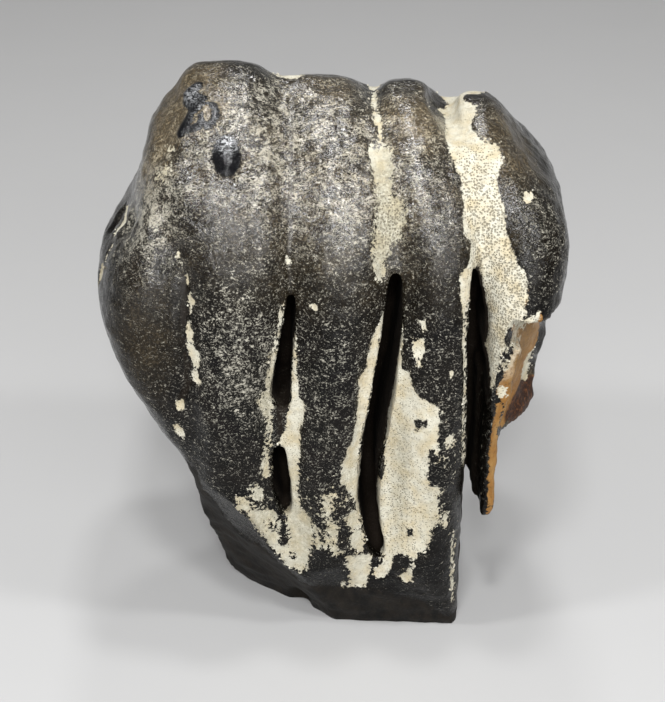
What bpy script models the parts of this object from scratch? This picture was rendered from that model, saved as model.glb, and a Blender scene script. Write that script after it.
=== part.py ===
"""A fossil mammoth molar: five enamel plates side by side, joined by cement, standing on its worn root end.

Run it with  blender --background --python part.py  or from Blender's text editor.
X runs across the row of plates, Y goes from the front of the tooth to its back, and Z is up.
The tooth is one solid. Its origin is the middle of its box, on the surface that it stands on.
Sizes are in millimetres and are turned into metres where the meshes are made.
"""

import math

import bmesh
import bpy
from mathutils import Matrix, Vector, noise

MM = 0.001

# ---- Driving dimensions ----------------------------------------------------------------------
FULL_OUTLINE = 115.0   # the height at which SIDE_OUTLINE is drawn
PLATE_SQUARENESS = 2.35  # 2 is an elliptical edge, more is boxier

# One plate seen from the side: (front y, front z, back y, back z), from the foot to the crest.
SIDE_OUTLINE = [
    (-23.0, -4.0, 19.0, -4.0),
    (-24.5, 7.0, 24.0, 8.0),
    (-27.5, 20.0, 28.0, 22.0),
    (-30.5, 42.0, 32.0, 42.0),
    (-32.0, 62.0, 34.0, 62.0),
    (-31.0, 80.0, 33.5, 80.0),
    (-26.5, 94.0, 30.0, 95.0),
    (-17.0, 105.5, 23.0, 106.5),
    (-4.0, 112.8, 14.5, 112.8),
    (6.0, 115.0, 8.0, 115.0),
]

# Each plate: height of its crest, where its foot ends, its reach to the front and back as shares of
# SIDE_OUTLINE, how far back its edges start to round over, and its spine of
# (z, middle x, half thickness), from the foot up.
PLATES = {
    "end_plate": dict(crest=115.6, foot=0.0, front=0.88, back=0.84, cap=24.0, spine=[
        (0, -15.0, 6.0), (14, -18.6, 6.8), (26, -21.2, 7.2), (40, -24.4, 7.5), (50, -28.0, 9.9),
        (59, -31.6, 11.7), (68, -34.9, 11.7), (77, -36.9, 11.4), (84, -36.5, 10.4), (89, -34.7, 9.4),
        (93, -32.8, 8.8), (97, -31.3, 8.8), (101, -29.9, 9.0), (107, -28.2, 9.0), (112, -26.8, 7.4),
        (115.6, -25.8, 4.2)]),
    "second_plate": dict(crest=118.6, foot=-4.0, front=1.0, back=1.0, cap=10.5, spine=[
        (-4, -11.5, 7.0), (10, -14.5, 7.2), (25, -17.3, 7.6), (37, -19.5, 7.6), (50, -20.9, 8.6),
        (60, -21.2, 9.3), (70, -20.0, 9.2), (80, -19.4, 10.0), (90, -20.0, 11.6), (100, -21.2, 12.0),
        (109, -21.4, 11.5), (115, -21.6, 9.6), (118.6, -21.8, 6.6)]),
    "third_plate": dict(crest=115.4, foot=-4.0, front=1.0, back=1.0, cap=9.5, spine=[
        (-4, 0.0, 9.0), (12, 0.2, 8.8), (25, -0.2, 7.8), (36, -1.6, 6.8), (50, -1.2, 7.5),
        (60, -0.5, 8.0), (70, 0.4, 8.3), (80, 1.1, 9.1), (90, 1.7, 10.2), (100, 1.0, 10.6),
        (107, 0.0, 10.2), (112, -1.6, 8.8), (115.4, -3.8, 6.4)]),
    "fourth_plate": dict(crest=114.8, foot=-4.0, front=1.0, back=1.0, cap=9.5, spine=[
        (-4, 19.0, 8.6), (10, 18.9, 8.6), (20, 18.7, 8.5), (32, 18.2, 8.8), (43, 18.1, 9.2), (49, 18.4, 8.9),
        (60, 19.5, 7.8), (70, 19.9, 7.2), (80, 20.6, 7.1), (88, 20.8, 7.8), (96, 19.6, 8.4),
        (104, 17.0, 7.4), (110, 15.0, 6.4), (114.8, 14.0, 4.0)]),
    "fifth_plate": dict(crest=112.8, foot=41.0, front=0.97, back=0.94, cap=17.0, spine=[
        (40, 35.8, 6.2), (49, 35.9, 6.4), (55, 36.0, 6.8), (65, 36.4, 7.3), (74, 36.6, 7.8),
        (82, 37.3, 8.9), (90, 37.3, 9.8), (97, 35.1, 9.4), (103, 31.7, 7.5), (108, 29.6, 5.7),
        (112.8, 28.0, 3.0)]),
}

# The cement in each seam, from the foot up: (z, middle x, half thickness, how far its front face lies
# behind those of the plates, and how far its back face does).
CEMENT = {
    "end_seam": [
        (0, -14.0, 6.0, 3.5, 4.0), (28, -19.0, 6.0, 3.5, 4.0), (45, -23.6, 6.0, 3.0, 4.0),
        (60, -28.0, 7.0, 3.0, 4.0), (84, -28.5, 8.0, 2.6, 4.0),
        (98, -27.0, 8.0, 2.0, 4.0), (112, -25.0, 6.0, 2.0, 4.0)],
    "split_seam": [
        (-4, -6.0, 6.0, 1.0, 3.0), (15, -7.0, 6.0, 1.5, 4.0), (24, -9.2, 6.0, 2.0, 8.0),
        (40, -10.4, 6.0, 2.6, 10.0), (60, -10.4, 6.0, 3.0, 10.0), (86, -9.0, 6.0, 3.4, 9.0),
        (94, -8.8, 6.0, 2.6, 5.0), (100, -8.6, 7.0, 1.4, 4.0), (110, -9.0, 7.0, 0.6, 2.0),
        (116.4, -10.4, 7.6, -1.0, 0.0)],
    "middle_seam": [
        (-4, 9.0, 6.0, 1.0, 3.0), (13, 9.5, 6.0, 1.5, 4.0), (20, 9.0, 6.0, 1.8, 8.0),
        (30, 7.6, 6.0, 2.2, 10.0), (43, 7.4, 6.0, 2.4, 10.0), (60, 9.5, 6.0, 2.8, 10.0),
        (84, 12.0, 6.0, 3.6, 9.0), (91, 11.9, 6.0, 3.2, 6.0), (96, 11.6, 6.0, 3.0, 4.0),
        (106, 10.2, 6.0, 2.6, 3.0), (111.4, 8.4, 5.0, 2.6, 3.0)],
    "broken_seam": [
        (49, 28.5, 6.0, 30.0, 18.0), (84, 28.6, 6.0, 26.0, 12.0),
        (90, 28.4, 6.0, 12.0, 8.0), (96, 27.0, 6.5, 4.4, 5.0), (103, 25.8, 5.8, 3.6, 4.5),
        (108.0, 25.6, 4.0, 3.2, 4.0)],
}

# The deep gaps in the seams, as blades to cut with: (z, front y, back y, middle x, half width).
GAPS = {
    "upper_split": [
        (59.0, -60, -8, -10.7, 1.0), (61, -60, -6, -10.6, 1.7), (66, -60, -4, -10.2, 1.65),
        (70.6, -60, -4, -9.7, 1.4), (75, -60, -6, -9.1, 1.25), (79.4, -60, -10, -8.5, 1.0),
        (84, -60, -12, -8.2, 0.95), (88, -60, -14, -8.1, 0.9), (92, -60, -18, -8.3, 0.5)],
    "lower_split": [
        (31.6, -60, -16, -9.8, 0.6), (34.5, -60, -12, -10.2, 1.2), (39.5, -60, -6, -10.8, 1.7),
        (44, -60, -6, -11.0, 1.6), (47, -60, -6, -11.2, 1.5), (49.8, -60, -10, -11.4, 1.0)],
    "middle_gap": [
        (20.6, -60, -20, 9.3, 0.8), (24, -60, -14, 8.8, 1.7), (28, -60, -6, 8.0, 1.8),
        (33, -60, -2, 7.3, 1.9), (37, -60, -2, 6.9, 2.0), (43.3, -60, -2, 7.2, 1.5),
        (47.8, -60, -2, 7.5, 1.55), (52, -60, -2, 8.1, 1.85), (61, -60, -2, 9.5, 2.05),
        (70, -60, -2, 10.7, 2.0), (78, -60, -4, 11.6, 1.7), (85, -60, -8, 12.0, 1.3),
        (88.5, -60, -14, 12.1, 0.5)],
    "open_gap": [
        (-9, -60, 60, 29.9, 3.1), (12, -60, 60, 29.6, 2.6), (20, -60, 34, 29.6, 2.4),
        (28, -60, 6, 29.4, 2.1), (45, -60, -2, 29.3, 2.3), (54, -60, -3, 29.0, 2.3),
        (61, -60, -4, 28.8, 2.3), (66, -60, -4, 28.5, 2.1), (71, -60, -5, 27.8, 1.6),
        (75, -60, -6, 28.1, 1.9), (79, -60, -8, 28.1, 1.8), (84, -60, -10, 27.5, 1.2),
        (88, -60, -16, 27.6, 0.8), (91, -60, -20, 27.7, 0.4)],
}

# The wall of the fifth plate that is left hanging, from its thin front edge to its thick root behind, as
# upright slabs that overlap: (z, front y, back y, middle x, half thickness).
HANGING_WALL = [
    [(27.6, -20.0, -9.0, 31.7, 0.8), (29.4, -22.0, -2.0, 32.2, 1.4), (37.0, -22.8, 4.0, 32.2, 1.45),
     (45.0, -24.0, 7.0, 32.2, 1.45), (50.0, -25.0, 8.0, 32.2, 1.5), (54.0, -25.8, 9.0, 32.4, 1.7),
     (60.0, -26.8, 10.0, 33.0, 2.3), (72.0, -28.5, 12.0, 34.2, 3.2)],
    [(27.4, -12.0, -1.0, 31.0, 1.3), (31.0, -13.0, 5.0, 31.4, 1.8), (45.0, -14.0, 12.0, 31.8, 2.2),
     (60.0, -14.0, 14.0, 32.4, 2.8)],
    [(29.2, -2.0, 6.0, 30.2, 1.6), (32.0, -2.5, 11.0, 30.3, 2.8), (36.0, -3.0, 12.5, 30.5, 3.6),
     (41.0, -3.5, 16.5, 30.6, 4.0), (48.0, -4.0, 18.5, 30.8, 4.4), (60.0, -5.0, 21.0, 31.2, 4.6)],
]

# Breaks, each along a plane: a point on it, the direction it faces, how far it reaches to each side
# and up and down, and how rough it is.
END_FACE = (Vector((-16.2, -20.5, 19.9)), Vector((-0.535, -0.678, -0.505)), (75.0, 75.0), 1.2)
UNDERCUT = (Vector((8.0, -24.4, 12.2)), Vector((-0.059, -0.916, -0.395)), (60.0, 60.0), 0.8)
PLATE_CHIP = (Vector((37.6, -18.0, 59.0)), Vector((0.84, -0.52, -0.15)), (24.0, 21.0), 2.4)
PLATE_FOOT = (Vector((45.8, -16.0, 48.4)), Vector((0.0, 0.10, -0.995)), (15.9, 75.0), 1.4)
BREAK_DEPTH = 75.0     # what lies this far beyond a break is gone

CORNER_ROUNDING = 0.14  # how far the corners of a break are drawn in

# Hollows and lumps of the surface: (x, y, z), half widths along x, y and z, and how deep it is
# sunk; a lump has a depth below nothing.
HOLLOWS = [
    ((-20.5, -17.0, 107.5), (3.8, 6.0, 5.6), 2.8),
    ((-26.0, -8.0, 113.0), (4.6, 5.0, 4.4), -1.0),
    ((-41.8, -14.5, 93.5), (3.6, 5.0, 4.6), 2.0),
    ((13.0, -29.5, 42.0), (8.5, 8.0, 27.0), 2.2),
    ((6.2, -30.5, 46.0), (3.0, 6.0, 30.0), 1.0),
    ((-7.5, -14.0, 1.5), (3.4, 5.0, 7.0), 3.0),
    ((-11.0, -30.0, 55.0), (3.4, 4.0, 7.0), 0.7),
    ((40.0, -11.0, 49.5), (6.0, 7.0, 5.0), -1.9),
    ((21.3, 4.0, 112.0), (4.0, 11.0, 5.0), 1.2),
    ((-45.5, -2.0, 85.5), (5.0, 13.0, 8.0), -0.9),
    ((-13.2, -16.5, 3.0), (4.5, 6.0, 4.5), -1.7),
    ((-1.3, -18.2, 104.6), (6.5, 7.0, 7.0), -0.9),
    ((16.7, -17.5, 105.3), (5.6, 6.5, 6.5), -0.9),
    ((-32.4, -16.3, 103.8), (6.0, 6.0, 5.0), -1.0),
    ((-36.0, -22.0, 84.0), (5.0, 8.0, 22.0), -0.8),
    ((33.5, -22.0, 94.0), (3.6, 9.0, 14.0), 1.2),
    ((-24.0, -30.0, 62.0), (4.0, 8.0, 18.0), -0.8),
    ((41.0, -12.0, 60.0), (5.0, 10.0, 9.0), 1.6),
    ((-12.0, 31.0, 70.0), (7.0, 7.0, 30.0), 1.6),
    ((24.0, 31.0, 88.0), (7.0, 8.0, 20.0), 1.4),
]
WAVINESS = 0.45        # how high the low waves in the enamel are
WAVE_SPACING = 10.0

VOXEL = 1.1            # the grid on which the plates and the cement grow together
SMOOTHING = 5          # rounds of smoothing that fill the seams as cement does
FINE_VOXEL = 0.8       # the grid of the finished skin
FINE_SMOOTHING = 1
FINISHED_TRIANGLES = 9400


def eased(stations, at):
    """Values of a table of stations at the given place, on a smooth curve through its rows.

    The first number of a row is the place and the rest are the values.
    """
    places = [row[0] for row in stations]
    at = min(max(at, places[0]), places[-1])
    i = min(max(sum(p <= at for p in places) - 1, 0), len(places) - 2)
    span = places[i + 1] - places[i]
    t = (at - places[i]) / span
    found = []
    for k in range(1, len(stations[0])):
        here, there = stations[i][k], stations[i + 1][k]
        before = stations[max(i - 1, 0)]
        after = stations[min(i + 2, len(stations) - 1)]
        rise_in = (there - before[k]) / (places[i + 1] - before[0]) * span
        rise_out = (after[k] - here) / (after[0] - places[i]) * span
        found.append(here * (1 + 2 * t) * (1 - t) ** 2 + rise_in * t * (1 - t) ** 2
                     + there * t * t * (3 - 2 * t) - rise_out * t * t * (1 - t))
    return found


def section(half, reach, cap, squareness, points=36):
    """A slab's outline seen from above, as (across, along) pairs: flat sides and rounded ends."""
    outline = []
    for i in range(points):
        turn = 2 * math.pi * i / points
        across = math.copysign(abs(math.cos(turn)) ** (2 / squareness), math.cos(turn))
        along = math.copysign(abs(math.sin(turn)) ** (2 / squareness), math.sin(turn))
        flat = 0.0 if abs(math.sin(turn)) < 1e-6 else math.copysign(reach - cap, along)
        outline.append((half * across, flat + cap * along))
    return outline


def slab_rings(edges, spine, cap, squareness=PLATE_SQUARENESS):
    """Rings of points for a slab from its edges, rows of (front y, front z, back y, back z)."""
    rings = []
    for front_y, front_z, back_y, back_z in edges:
        front, back = Vector((0, front_y, front_z)), Vector((0, back_y, back_z))
        middle, reach = (front + back) / 2, (back - front).length / 2
        inward = (back - front).normalized()
        x, half = spine(middle.z)
        outline = section(half, reach, min(cap, reach), squareness)
        rings.append([middle + inward * along + Vector((x + across, 0, 0)) for across, along in outline])
    return rings


def side_edges(crest, foot, front=1.0, back=1.0, steps=44):
    """The front and back edge of a plate of this height, from its foot to its crest."""
    rows = [(i, *row) for i, row in enumerate(SIDE_OUTLINE)]
    edges = []
    for step in range(steps + 1):
        front_y, front_z, back_y, back_z = eased(rows, step * (len(rows) - 1) / steps)
        height = crest / FULL_OUTLINE
        if (front_z + back_z) / 2 * height >= foot:
            edges.append((front_y * front, front_z * height, back_y * back, back_z * height))
    return edges


def cement_edges(rows, steps=40):
    """The front and back edge of the cement in a seam, which lie behind those of a full plate."""
    bottom, top = rows[0][0], rows[-1][0]
    full = side_edges(FULL_OUTLINE, -4.0)
    fronts = [(row[1], row[0]) for row in full]
    backs = [(row[3], row[2]) for row in full]
    edges = []
    for step in range(steps + 1):
        z = bottom + (top - bottom) * step / steps
        _, _, front_recess, back_recess = eased(rows, z)
        front_y, back_y = eased(fronts, z)[0], eased(backs, z)[0]
        edges.append((front_y + front_recess, z, back_y - back_recess, z))
    return edges


def add_loft(bm, rings):
    """Adds a closed skin over rings of equally many points."""
    skin = [[bm.verts.new(point * MM) for point in ring] for ring in rings]
    for lower, upper in zip(skin, skin[1:]):
        for i in range(len(lower)):
            j = (i + 1) % len(lower)
            bm.faces.new((lower[i], lower[j], upper[j], upper[i]))
    bm.faces.new(reversed(skin[0]))
    bm.faces.new(skin[-1])


def mesh_object(name, bm):
    """An object in the scene from a finished bmesh."""
    mesh = bpy.data.meshes.new(name)
    bm.to_mesh(mesh)
    bm.free()
    made = bpy.data.objects.new(name, mesh)
    bpy.context.scene.collection.objects.link(made)
    return made


def plates_and_cement():
    """All plates and the cement between them, as overlapping closed skins in one mesh."""
    bm = bmesh.new()
    for plate in PLATES.values():
        edges = side_edges(plate["crest"], plate["foot"], plate["front"], plate["back"])
        add_loft(bm, slab_rings(edges, lambda z, rows=plate["spine"]: eased(rows, z), plate["cap"]))
    for rows in CEMENT.values():
        add_loft(bm, slab_rings(cement_edges(rows), lambda z, rows=rows: eased(rows, z)[:2], cap=4.0))
    return mesh_object("plates_and_cement", bm)


def add_blade(bm, rows, cap, squareness, steps=36):
    """Adds a thin upright slab from rows of (z, front y, back y, middle x, half thickness)."""
    bottom, top = rows[0][0], rows[-1][0]
    heights = [bottom + (top - bottom) * step / steps for step in range(steps + 1)]
    edges = [(eased(rows, z)[0], z, eased(rows, z)[1], z) for z in heights]
    add_loft(bm, slab_rings(edges, lambda z: eased(rows, z)[2:], cap, squareness))


def gap_cutter(name, rows):
    """One deep gap, as a blade to cut with."""
    bm = bmesh.new()
    add_blade(bm, rows, cap=2.0, squareness=3.0)
    return helper(mesh_object(name, bm))


def hang_wall(tooth):
    """Adds the hanging wall to the cut tooth's mesh; the next remesh makes them one skin."""
    bm = bmesh.new()
    bm.from_mesh(tooth.data)
    for slab in HANGING_WALL:
        add_blade(bm, slab, cap=2.0, squareness=3.5)
    bm.to_mesh(tooth.data)
    bm.free()


def rough_block(name, point, facing, size, roughness, cells=14):
    """A cutter: a block whose near face lies on a plane, broken rough, and removes what is beyond."""
    bm = bmesh.new()
    bmesh.ops.create_grid(bm, x_segments=cells, y_segments=cells, size=MM)
    for vert in bm.verts:
        across, along = vert.co.x / MM, vert.co.y / MM
        vert.co.x *= size[0] * (1 - CORNER_ROUNDING * along ** 2)
        vert.co.y *= size[1] * (1 - CORNER_ROUNDING * across ** 2)
        lump = noise.noise(vert.co / (9 * MM) + Vector((point.x, point.y, 0)))
        vert.co.z += lump * roughness * MM
    moved = bmesh.ops.extrude_face_region(bm, geom=bm.faces[:])["geom"]
    for vert in moved:
        if isinstance(vert, bmesh.types.BMVert):
            vert.co.z = BREAK_DEPTH * MM
    bmesh.ops.recalc_face_normals(bm, faces=bm.faces)
    cutter = mesh_object(name, bm)
    cutter.matrix_world = (Matrix.Translation(point * MM)
                           @ facing.to_track_quat("Z", "Y").to_matrix().to_4x4())
    return helper(cutter)


def box_block(name, low, high):
    """A plain box from its lowest to its highest corner, to cut with."""
    bm = bmesh.new()
    bmesh.ops.create_cube(bm, size=1.0)
    size, middle = (high - low) * MM, (high + low) / 2 * MM
    bmesh.ops.transform(bm, matrix=Matrix.Translation(middle) @ Matrix.Diagonal(size).to_4x4(),
                        verts=bm.verts)
    return helper(mesh_object(name, bm))


def helper(made):
    """Marks an object that only shapes another one."""
    made.hide_render = True
    made.display_type = "WIRE"
    return made


def add_boolean(made, other, operation="DIFFERENCE"):
    modifier = made.modifiers.new(other.name, "BOOLEAN")
    modifier.operation = operation
    modifier.object = other


def add_remesh(made, voxel, smoothing):
    """Makes one skin on a regular grid, then smooths it."""
    remesh = made.modifiers.new("Grow together", "REMESH")
    remesh.mode = "VOXEL"
    remesh.voxel_size = voxel * MM
    smooth = made.modifiers.new("Smooth", "SMOOTH")
    smooth.factor = 0.5
    smooth.iterations = smoothing


def shape_surface(tooth):
    """Pushes the skin in at each hollow and out at each lump, and waves it, along its own normals."""
    for vert, normal in zip(tooth.data.vertices, [n.vector.copy() for n in tooth.data.vertex_normals]):
        place = vert.co / MM
        depth = WAVINESS * noise.noise(place / WAVE_SPACING)
        for middle, widths, sunk in HOLLOWS:
            away = Vector(((place[i] - middle[i]) / widths[i] for i in range(3))).length
            near = max(1 - away, 0)
            depth += sunk * near * near * (3 - 2 * near)
        vert.co -= normal * depth * MM


def centre(tooth):
    """Moves the mesh so that its origin is the middle of its box in X and Y."""
    corners = [vert.co for vert in tooth.data.vertices]
    middle = [(min(c[i] for c in corners) + max(c[i] for c in corners)) / 2 for i in range(2)]
    tooth.data.transform(Matrix.Translation((-middle[0], -middle[1], 0)))


def thin_out(tooth):
    """Keeps only as many triangles as the shape needs."""
    fine = sum(len(face.vertices) - 2 for face in tooth.data.polygons)
    thinner = tooth.modifiers.new("Thin out", "DECIMATE")
    thinner.ratio = FINISHED_TRIANGLES / fine
    thinner.use_collapse_triangulate = True


def bake_modifiers(made):
    """Replaces an object's mesh by what its modifiers make of it."""
    graph = bpy.context.evaluated_depsgraph_get()
    mesh = bpy.data.meshes.new_from_object(made.evaluated_get(graph))
    made.modifiers.clear()
    made.data = mesh


def lacquered_enamel():
    """Near-black enamel under a clear varnish."""
    material = bpy.data.materials.new("lacquered_enamel")
    material.use_nodes = True
    shader = material.node_tree.nodes["Principled BSDF"]
    shader.inputs["Base Color"].default_value = (0.055, 0.048, 0.040, 1.0)
    shader.inputs["Roughness"].default_value = 0.35
    shader.inputs["Metallic"].default_value = 0.0
    return material


def main():
    for old in list(bpy.data.objects):
        bpy.data.objects.remove(old)
    tooth = plates_and_cement()
    tooth.name = "mammoth_tooth"
    add_remesh(tooth, VOXEL, SMOOTHING)
    for name, plane in (("end_face", END_FACE), ("undercut", UNDERCUT), ("plate_chip", PLATE_CHIP),
                        ("plate_foot", PLATE_FOOT)):
        add_boolean(tooth, rough_block(name, *plane))
    for name, rows in GAPS.items():
        add_boolean(tooth, gap_cutter(name, rows))
    bake_modifiers(tooth)
    hang_wall(tooth)
    add_remesh(tooth, FINE_VOXEL, FINE_SMOOTHING)
    bake_modifiers(tooth)
    shape_surface(tooth)
    thin_out(tooth)
    add_boolean(tooth, box_block("floor_cutter", Vector((-90, -90, -40)), Vector((90, 90, 0))))
    bake_modifiers(tooth)
    centre(tooth)
    tooth.data.materials.append(lacquered_enamel())
    bpy.context.view_layer.update()


main()
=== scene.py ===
"""A fossil mammoth tooth with its finished skin, standing on a pale floor.

The tooth is grown again from the same plates, cement and breaks as its plain solid, on a finer grid. Then
its relief is pressed in, and the lie of each finish is written on the mesh for the material to read.
X runs across the row of plates, Y goes from the front of the tooth to its back, and Z is up. Tables are in
millimetres from the middle of the third plate's foot. Outlines on the front are in pixels of the camera's
picture instead, and are aimed at the plain solid to find where they lie.
"""

import math

import bmesh
import bpy
import numpy as np
from mathutils import Matrix, Vector, noise
from mathutils.bvhtree import BVHTree


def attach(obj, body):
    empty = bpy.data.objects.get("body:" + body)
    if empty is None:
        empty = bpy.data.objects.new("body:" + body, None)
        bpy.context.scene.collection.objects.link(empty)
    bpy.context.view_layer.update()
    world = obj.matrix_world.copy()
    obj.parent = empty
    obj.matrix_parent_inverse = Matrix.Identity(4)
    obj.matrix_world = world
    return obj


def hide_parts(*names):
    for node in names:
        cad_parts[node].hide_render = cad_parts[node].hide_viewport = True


bl_info = {
    "name": "Fossil mammoth tooth",
    "version": (1, 0, 0),
    "blender": (4, 5, 0),
    "location": "View3D > Sidebar > Fossil",
    "description": "Makes the finished skin of a fossil mammoth tooth, its crumbs, a floor and lights",
    "category": "Object",
}

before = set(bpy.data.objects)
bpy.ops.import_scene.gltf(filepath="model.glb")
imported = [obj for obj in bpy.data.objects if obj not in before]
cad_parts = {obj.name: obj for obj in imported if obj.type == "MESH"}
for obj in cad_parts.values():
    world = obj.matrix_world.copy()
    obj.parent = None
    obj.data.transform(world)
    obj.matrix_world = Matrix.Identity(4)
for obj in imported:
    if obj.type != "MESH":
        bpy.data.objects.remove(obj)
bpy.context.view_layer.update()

MM = 0.001
TO_MIDDLE = Vector((0.52, -0.87, 0.0))  # from where the tables start to the middle of the tooth's box
FULL_OUTLINE = 115.0     # the height at which SIDE_OUTLINE is drawn
PLATE_SQUARENESS = 2.35  # 2 is an elliptical edge, more is boxier
FAR = 3.0                # depths further than this from a finish's border aren't told apart
BACK_STARTS = 6.0        # the y beyond which the tables for the back hold
CRUMB_SEED = 7

# ---- The form ----------------------------------------------------------------------------------
# One plate seen from the side: (front y, front z, back y, back z), from the foot to the crest.
SIDE_OUTLINE = [
    (-23.0, -4.0, 19.0, -4.0),
    (-24.5, 7.0, 24.0, 8.0),
    (-27.5, 20.0, 28.0, 22.0),
    (-30.5, 42.0, 32.0, 42.0),
    (-32.0, 62.0, 34.0, 62.0),
    (-31.0, 80.0, 33.5, 80.0),
    (-26.5, 94.0, 30.0, 95.0),
    (-17.0, 105.5, 23.0, 106.5),
    (-4.0, 112.8, 14.5, 112.8),
    (6.0, 115.0, 8.0, 115.0),
]

# Each plate: height of its crest, where its foot ends, its reach to the front and back as shares of
# SIDE_OUTLINE, how far back its edges start to round over, and its spine of
# (z, middle x, half thickness), from the foot up.
PLATES = {
    "end_plate": dict(crest=115.6, foot=0.0, front=0.88, back=0.84, cap=24.0, spine=[
        (0, -15.0, 6.0), (14, -18.6, 6.8), (26, -21.2, 7.2), (40, -24.4, 7.5), (50, -28.0, 9.9),
        (59, -31.6, 11.7), (68, -34.9, 11.7), (77, -36.9, 11.4), (84, -36.5, 10.4), (89, -34.7, 9.4),
        (93, -32.8, 8.8), (97, -31.3, 8.8), (101, -29.9, 9.0), (107, -28.2, 9.0), (112, -26.8, 7.4),
        (115.6, -25.8, 4.2)]),
    "second_plate": dict(crest=118.6, foot=-4.0, front=1.0, back=1.0, cap=10.5, spine=[
        (-4, -11.5, 7.0), (10, -14.5, 7.2), (25, -17.3, 7.6), (37, -19.5, 7.6), (50, -20.9, 8.6),
        (60, -21.2, 9.3), (70, -20.0, 9.2), (80, -19.4, 10.0), (90, -20.0, 11.6), (100, -21.2, 12.0),
        (109, -21.4, 11.5), (115, -21.6, 9.6), (118.6, -21.8, 6.6)]),
    "third_plate": dict(crest=115.4, foot=-4.0, front=1.0, back=1.0, cap=9.5, spine=[
        (-4, 0.0, 9.0), (12, 0.2, 8.8), (25, -0.2, 7.8), (36, -1.6, 6.8), (50, -1.2, 7.5),
        (60, -0.5, 8.0), (70, 0.4, 8.3), (80, 1.1, 9.1), (90, 1.7, 10.2), (100, 1.0, 10.6),
        (107, 0.0, 10.2), (112, -1.6, 8.8), (115.4, -3.8, 6.4)]),
    "fourth_plate": dict(crest=114.8, foot=-4.0, front=1.0, back=1.0, cap=9.5, spine=[
        (-4, 19.0, 8.6), (10, 18.9, 8.6), (20, 18.7, 8.5), (32, 18.2, 8.8), (43, 18.1, 9.2), (49, 18.4, 8.9),
        (60, 19.5, 7.8), (70, 19.9, 7.2), (80, 20.6, 7.1), (88, 20.8, 7.8), (96, 19.6, 8.4),
        (104, 17.0, 7.4), (110, 15.0, 6.4), (114.8, 14.0, 4.0)]),
    "fifth_plate": dict(crest=112.8, foot=41.0, front=0.97, back=0.94, cap=17.0, spine=[
        (40, 35.8, 6.2), (49, 35.9, 6.4), (55, 36.0, 6.8), (65, 36.4, 7.3), (74, 36.6, 7.8),
        (82, 37.3, 8.9), (90, 37.3, 9.8), (97, 35.1, 9.4), (103, 31.7, 7.5), (108, 29.6, 5.7),
        (112.8, 28.0, 3.0)]),
}

# The cement in each seam, from the foot up: (z, middle x, half thickness, how far its front face lies
# behind those of the plates, and how far its back face does).
CEMENT = {
    "end_seam": [
        (0, -14.0, 6.0, 3.5, 4.0), (28, -19.0, 6.0, 3.5, 4.0), (45, -23.6, 6.0, 3.0, 4.0),
        (60, -28.0, 7.0, 3.0, 4.0), (84, -28.5, 8.0, 2.6, 4.0),
        (98, -27.0, 8.0, 2.0, 4.0), (112, -25.0, 6.0, 2.0, 4.0)],
    "split_seam": [
        (-4, -6.0, 6.0, 1.0, 3.0), (15, -7.0, 6.0, 1.5, 4.0), (24, -9.2, 6.0, 2.0, 8.0),
        (40, -10.4, 6.0, 2.6, 10.0), (60, -10.4, 6.0, 3.0, 10.0), (86, -9.0, 6.0, 3.4, 9.0),
        (94, -8.8, 6.0, 2.6, 5.0), (100, -8.6, 7.0, 1.4, 4.0), (110, -9.0, 7.0, 0.6, 2.0),
        (116.4, -10.4, 7.6, -1.0, 0.0)],
    "middle_seam": [
        (-4, 9.0, 6.0, 1.0, 3.0), (13, 9.5, 6.0, 1.5, 4.0), (20, 9.0, 6.0, 1.8, 8.0),
        (30, 7.6, 6.0, 2.2, 10.0), (43, 7.4, 6.0, 2.4, 10.0), (60, 9.5, 6.0, 2.8, 10.0),
        (84, 12.0, 6.0, 3.6, 9.0), (91, 11.9, 6.0, 3.2, 6.0), (96, 11.6, 6.0, 3.0, 4.0),
        (106, 10.2, 6.0, 2.6, 3.0), (111.4, 8.4, 5.0, 2.6, 3.0)],
    "broken_seam": [
        (49, 28.5, 6.0, 30.0, 18.0), (84, 28.6, 6.0, 26.0, 12.0),
        (90, 28.4, 6.0, 12.0, 8.0), (96, 27.0, 6.5, 4.4, 5.0), (103, 25.8, 5.8, 3.6, 4.5),
        (108.0, 25.6, 4.0, 3.2, 4.0)],
}

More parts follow.
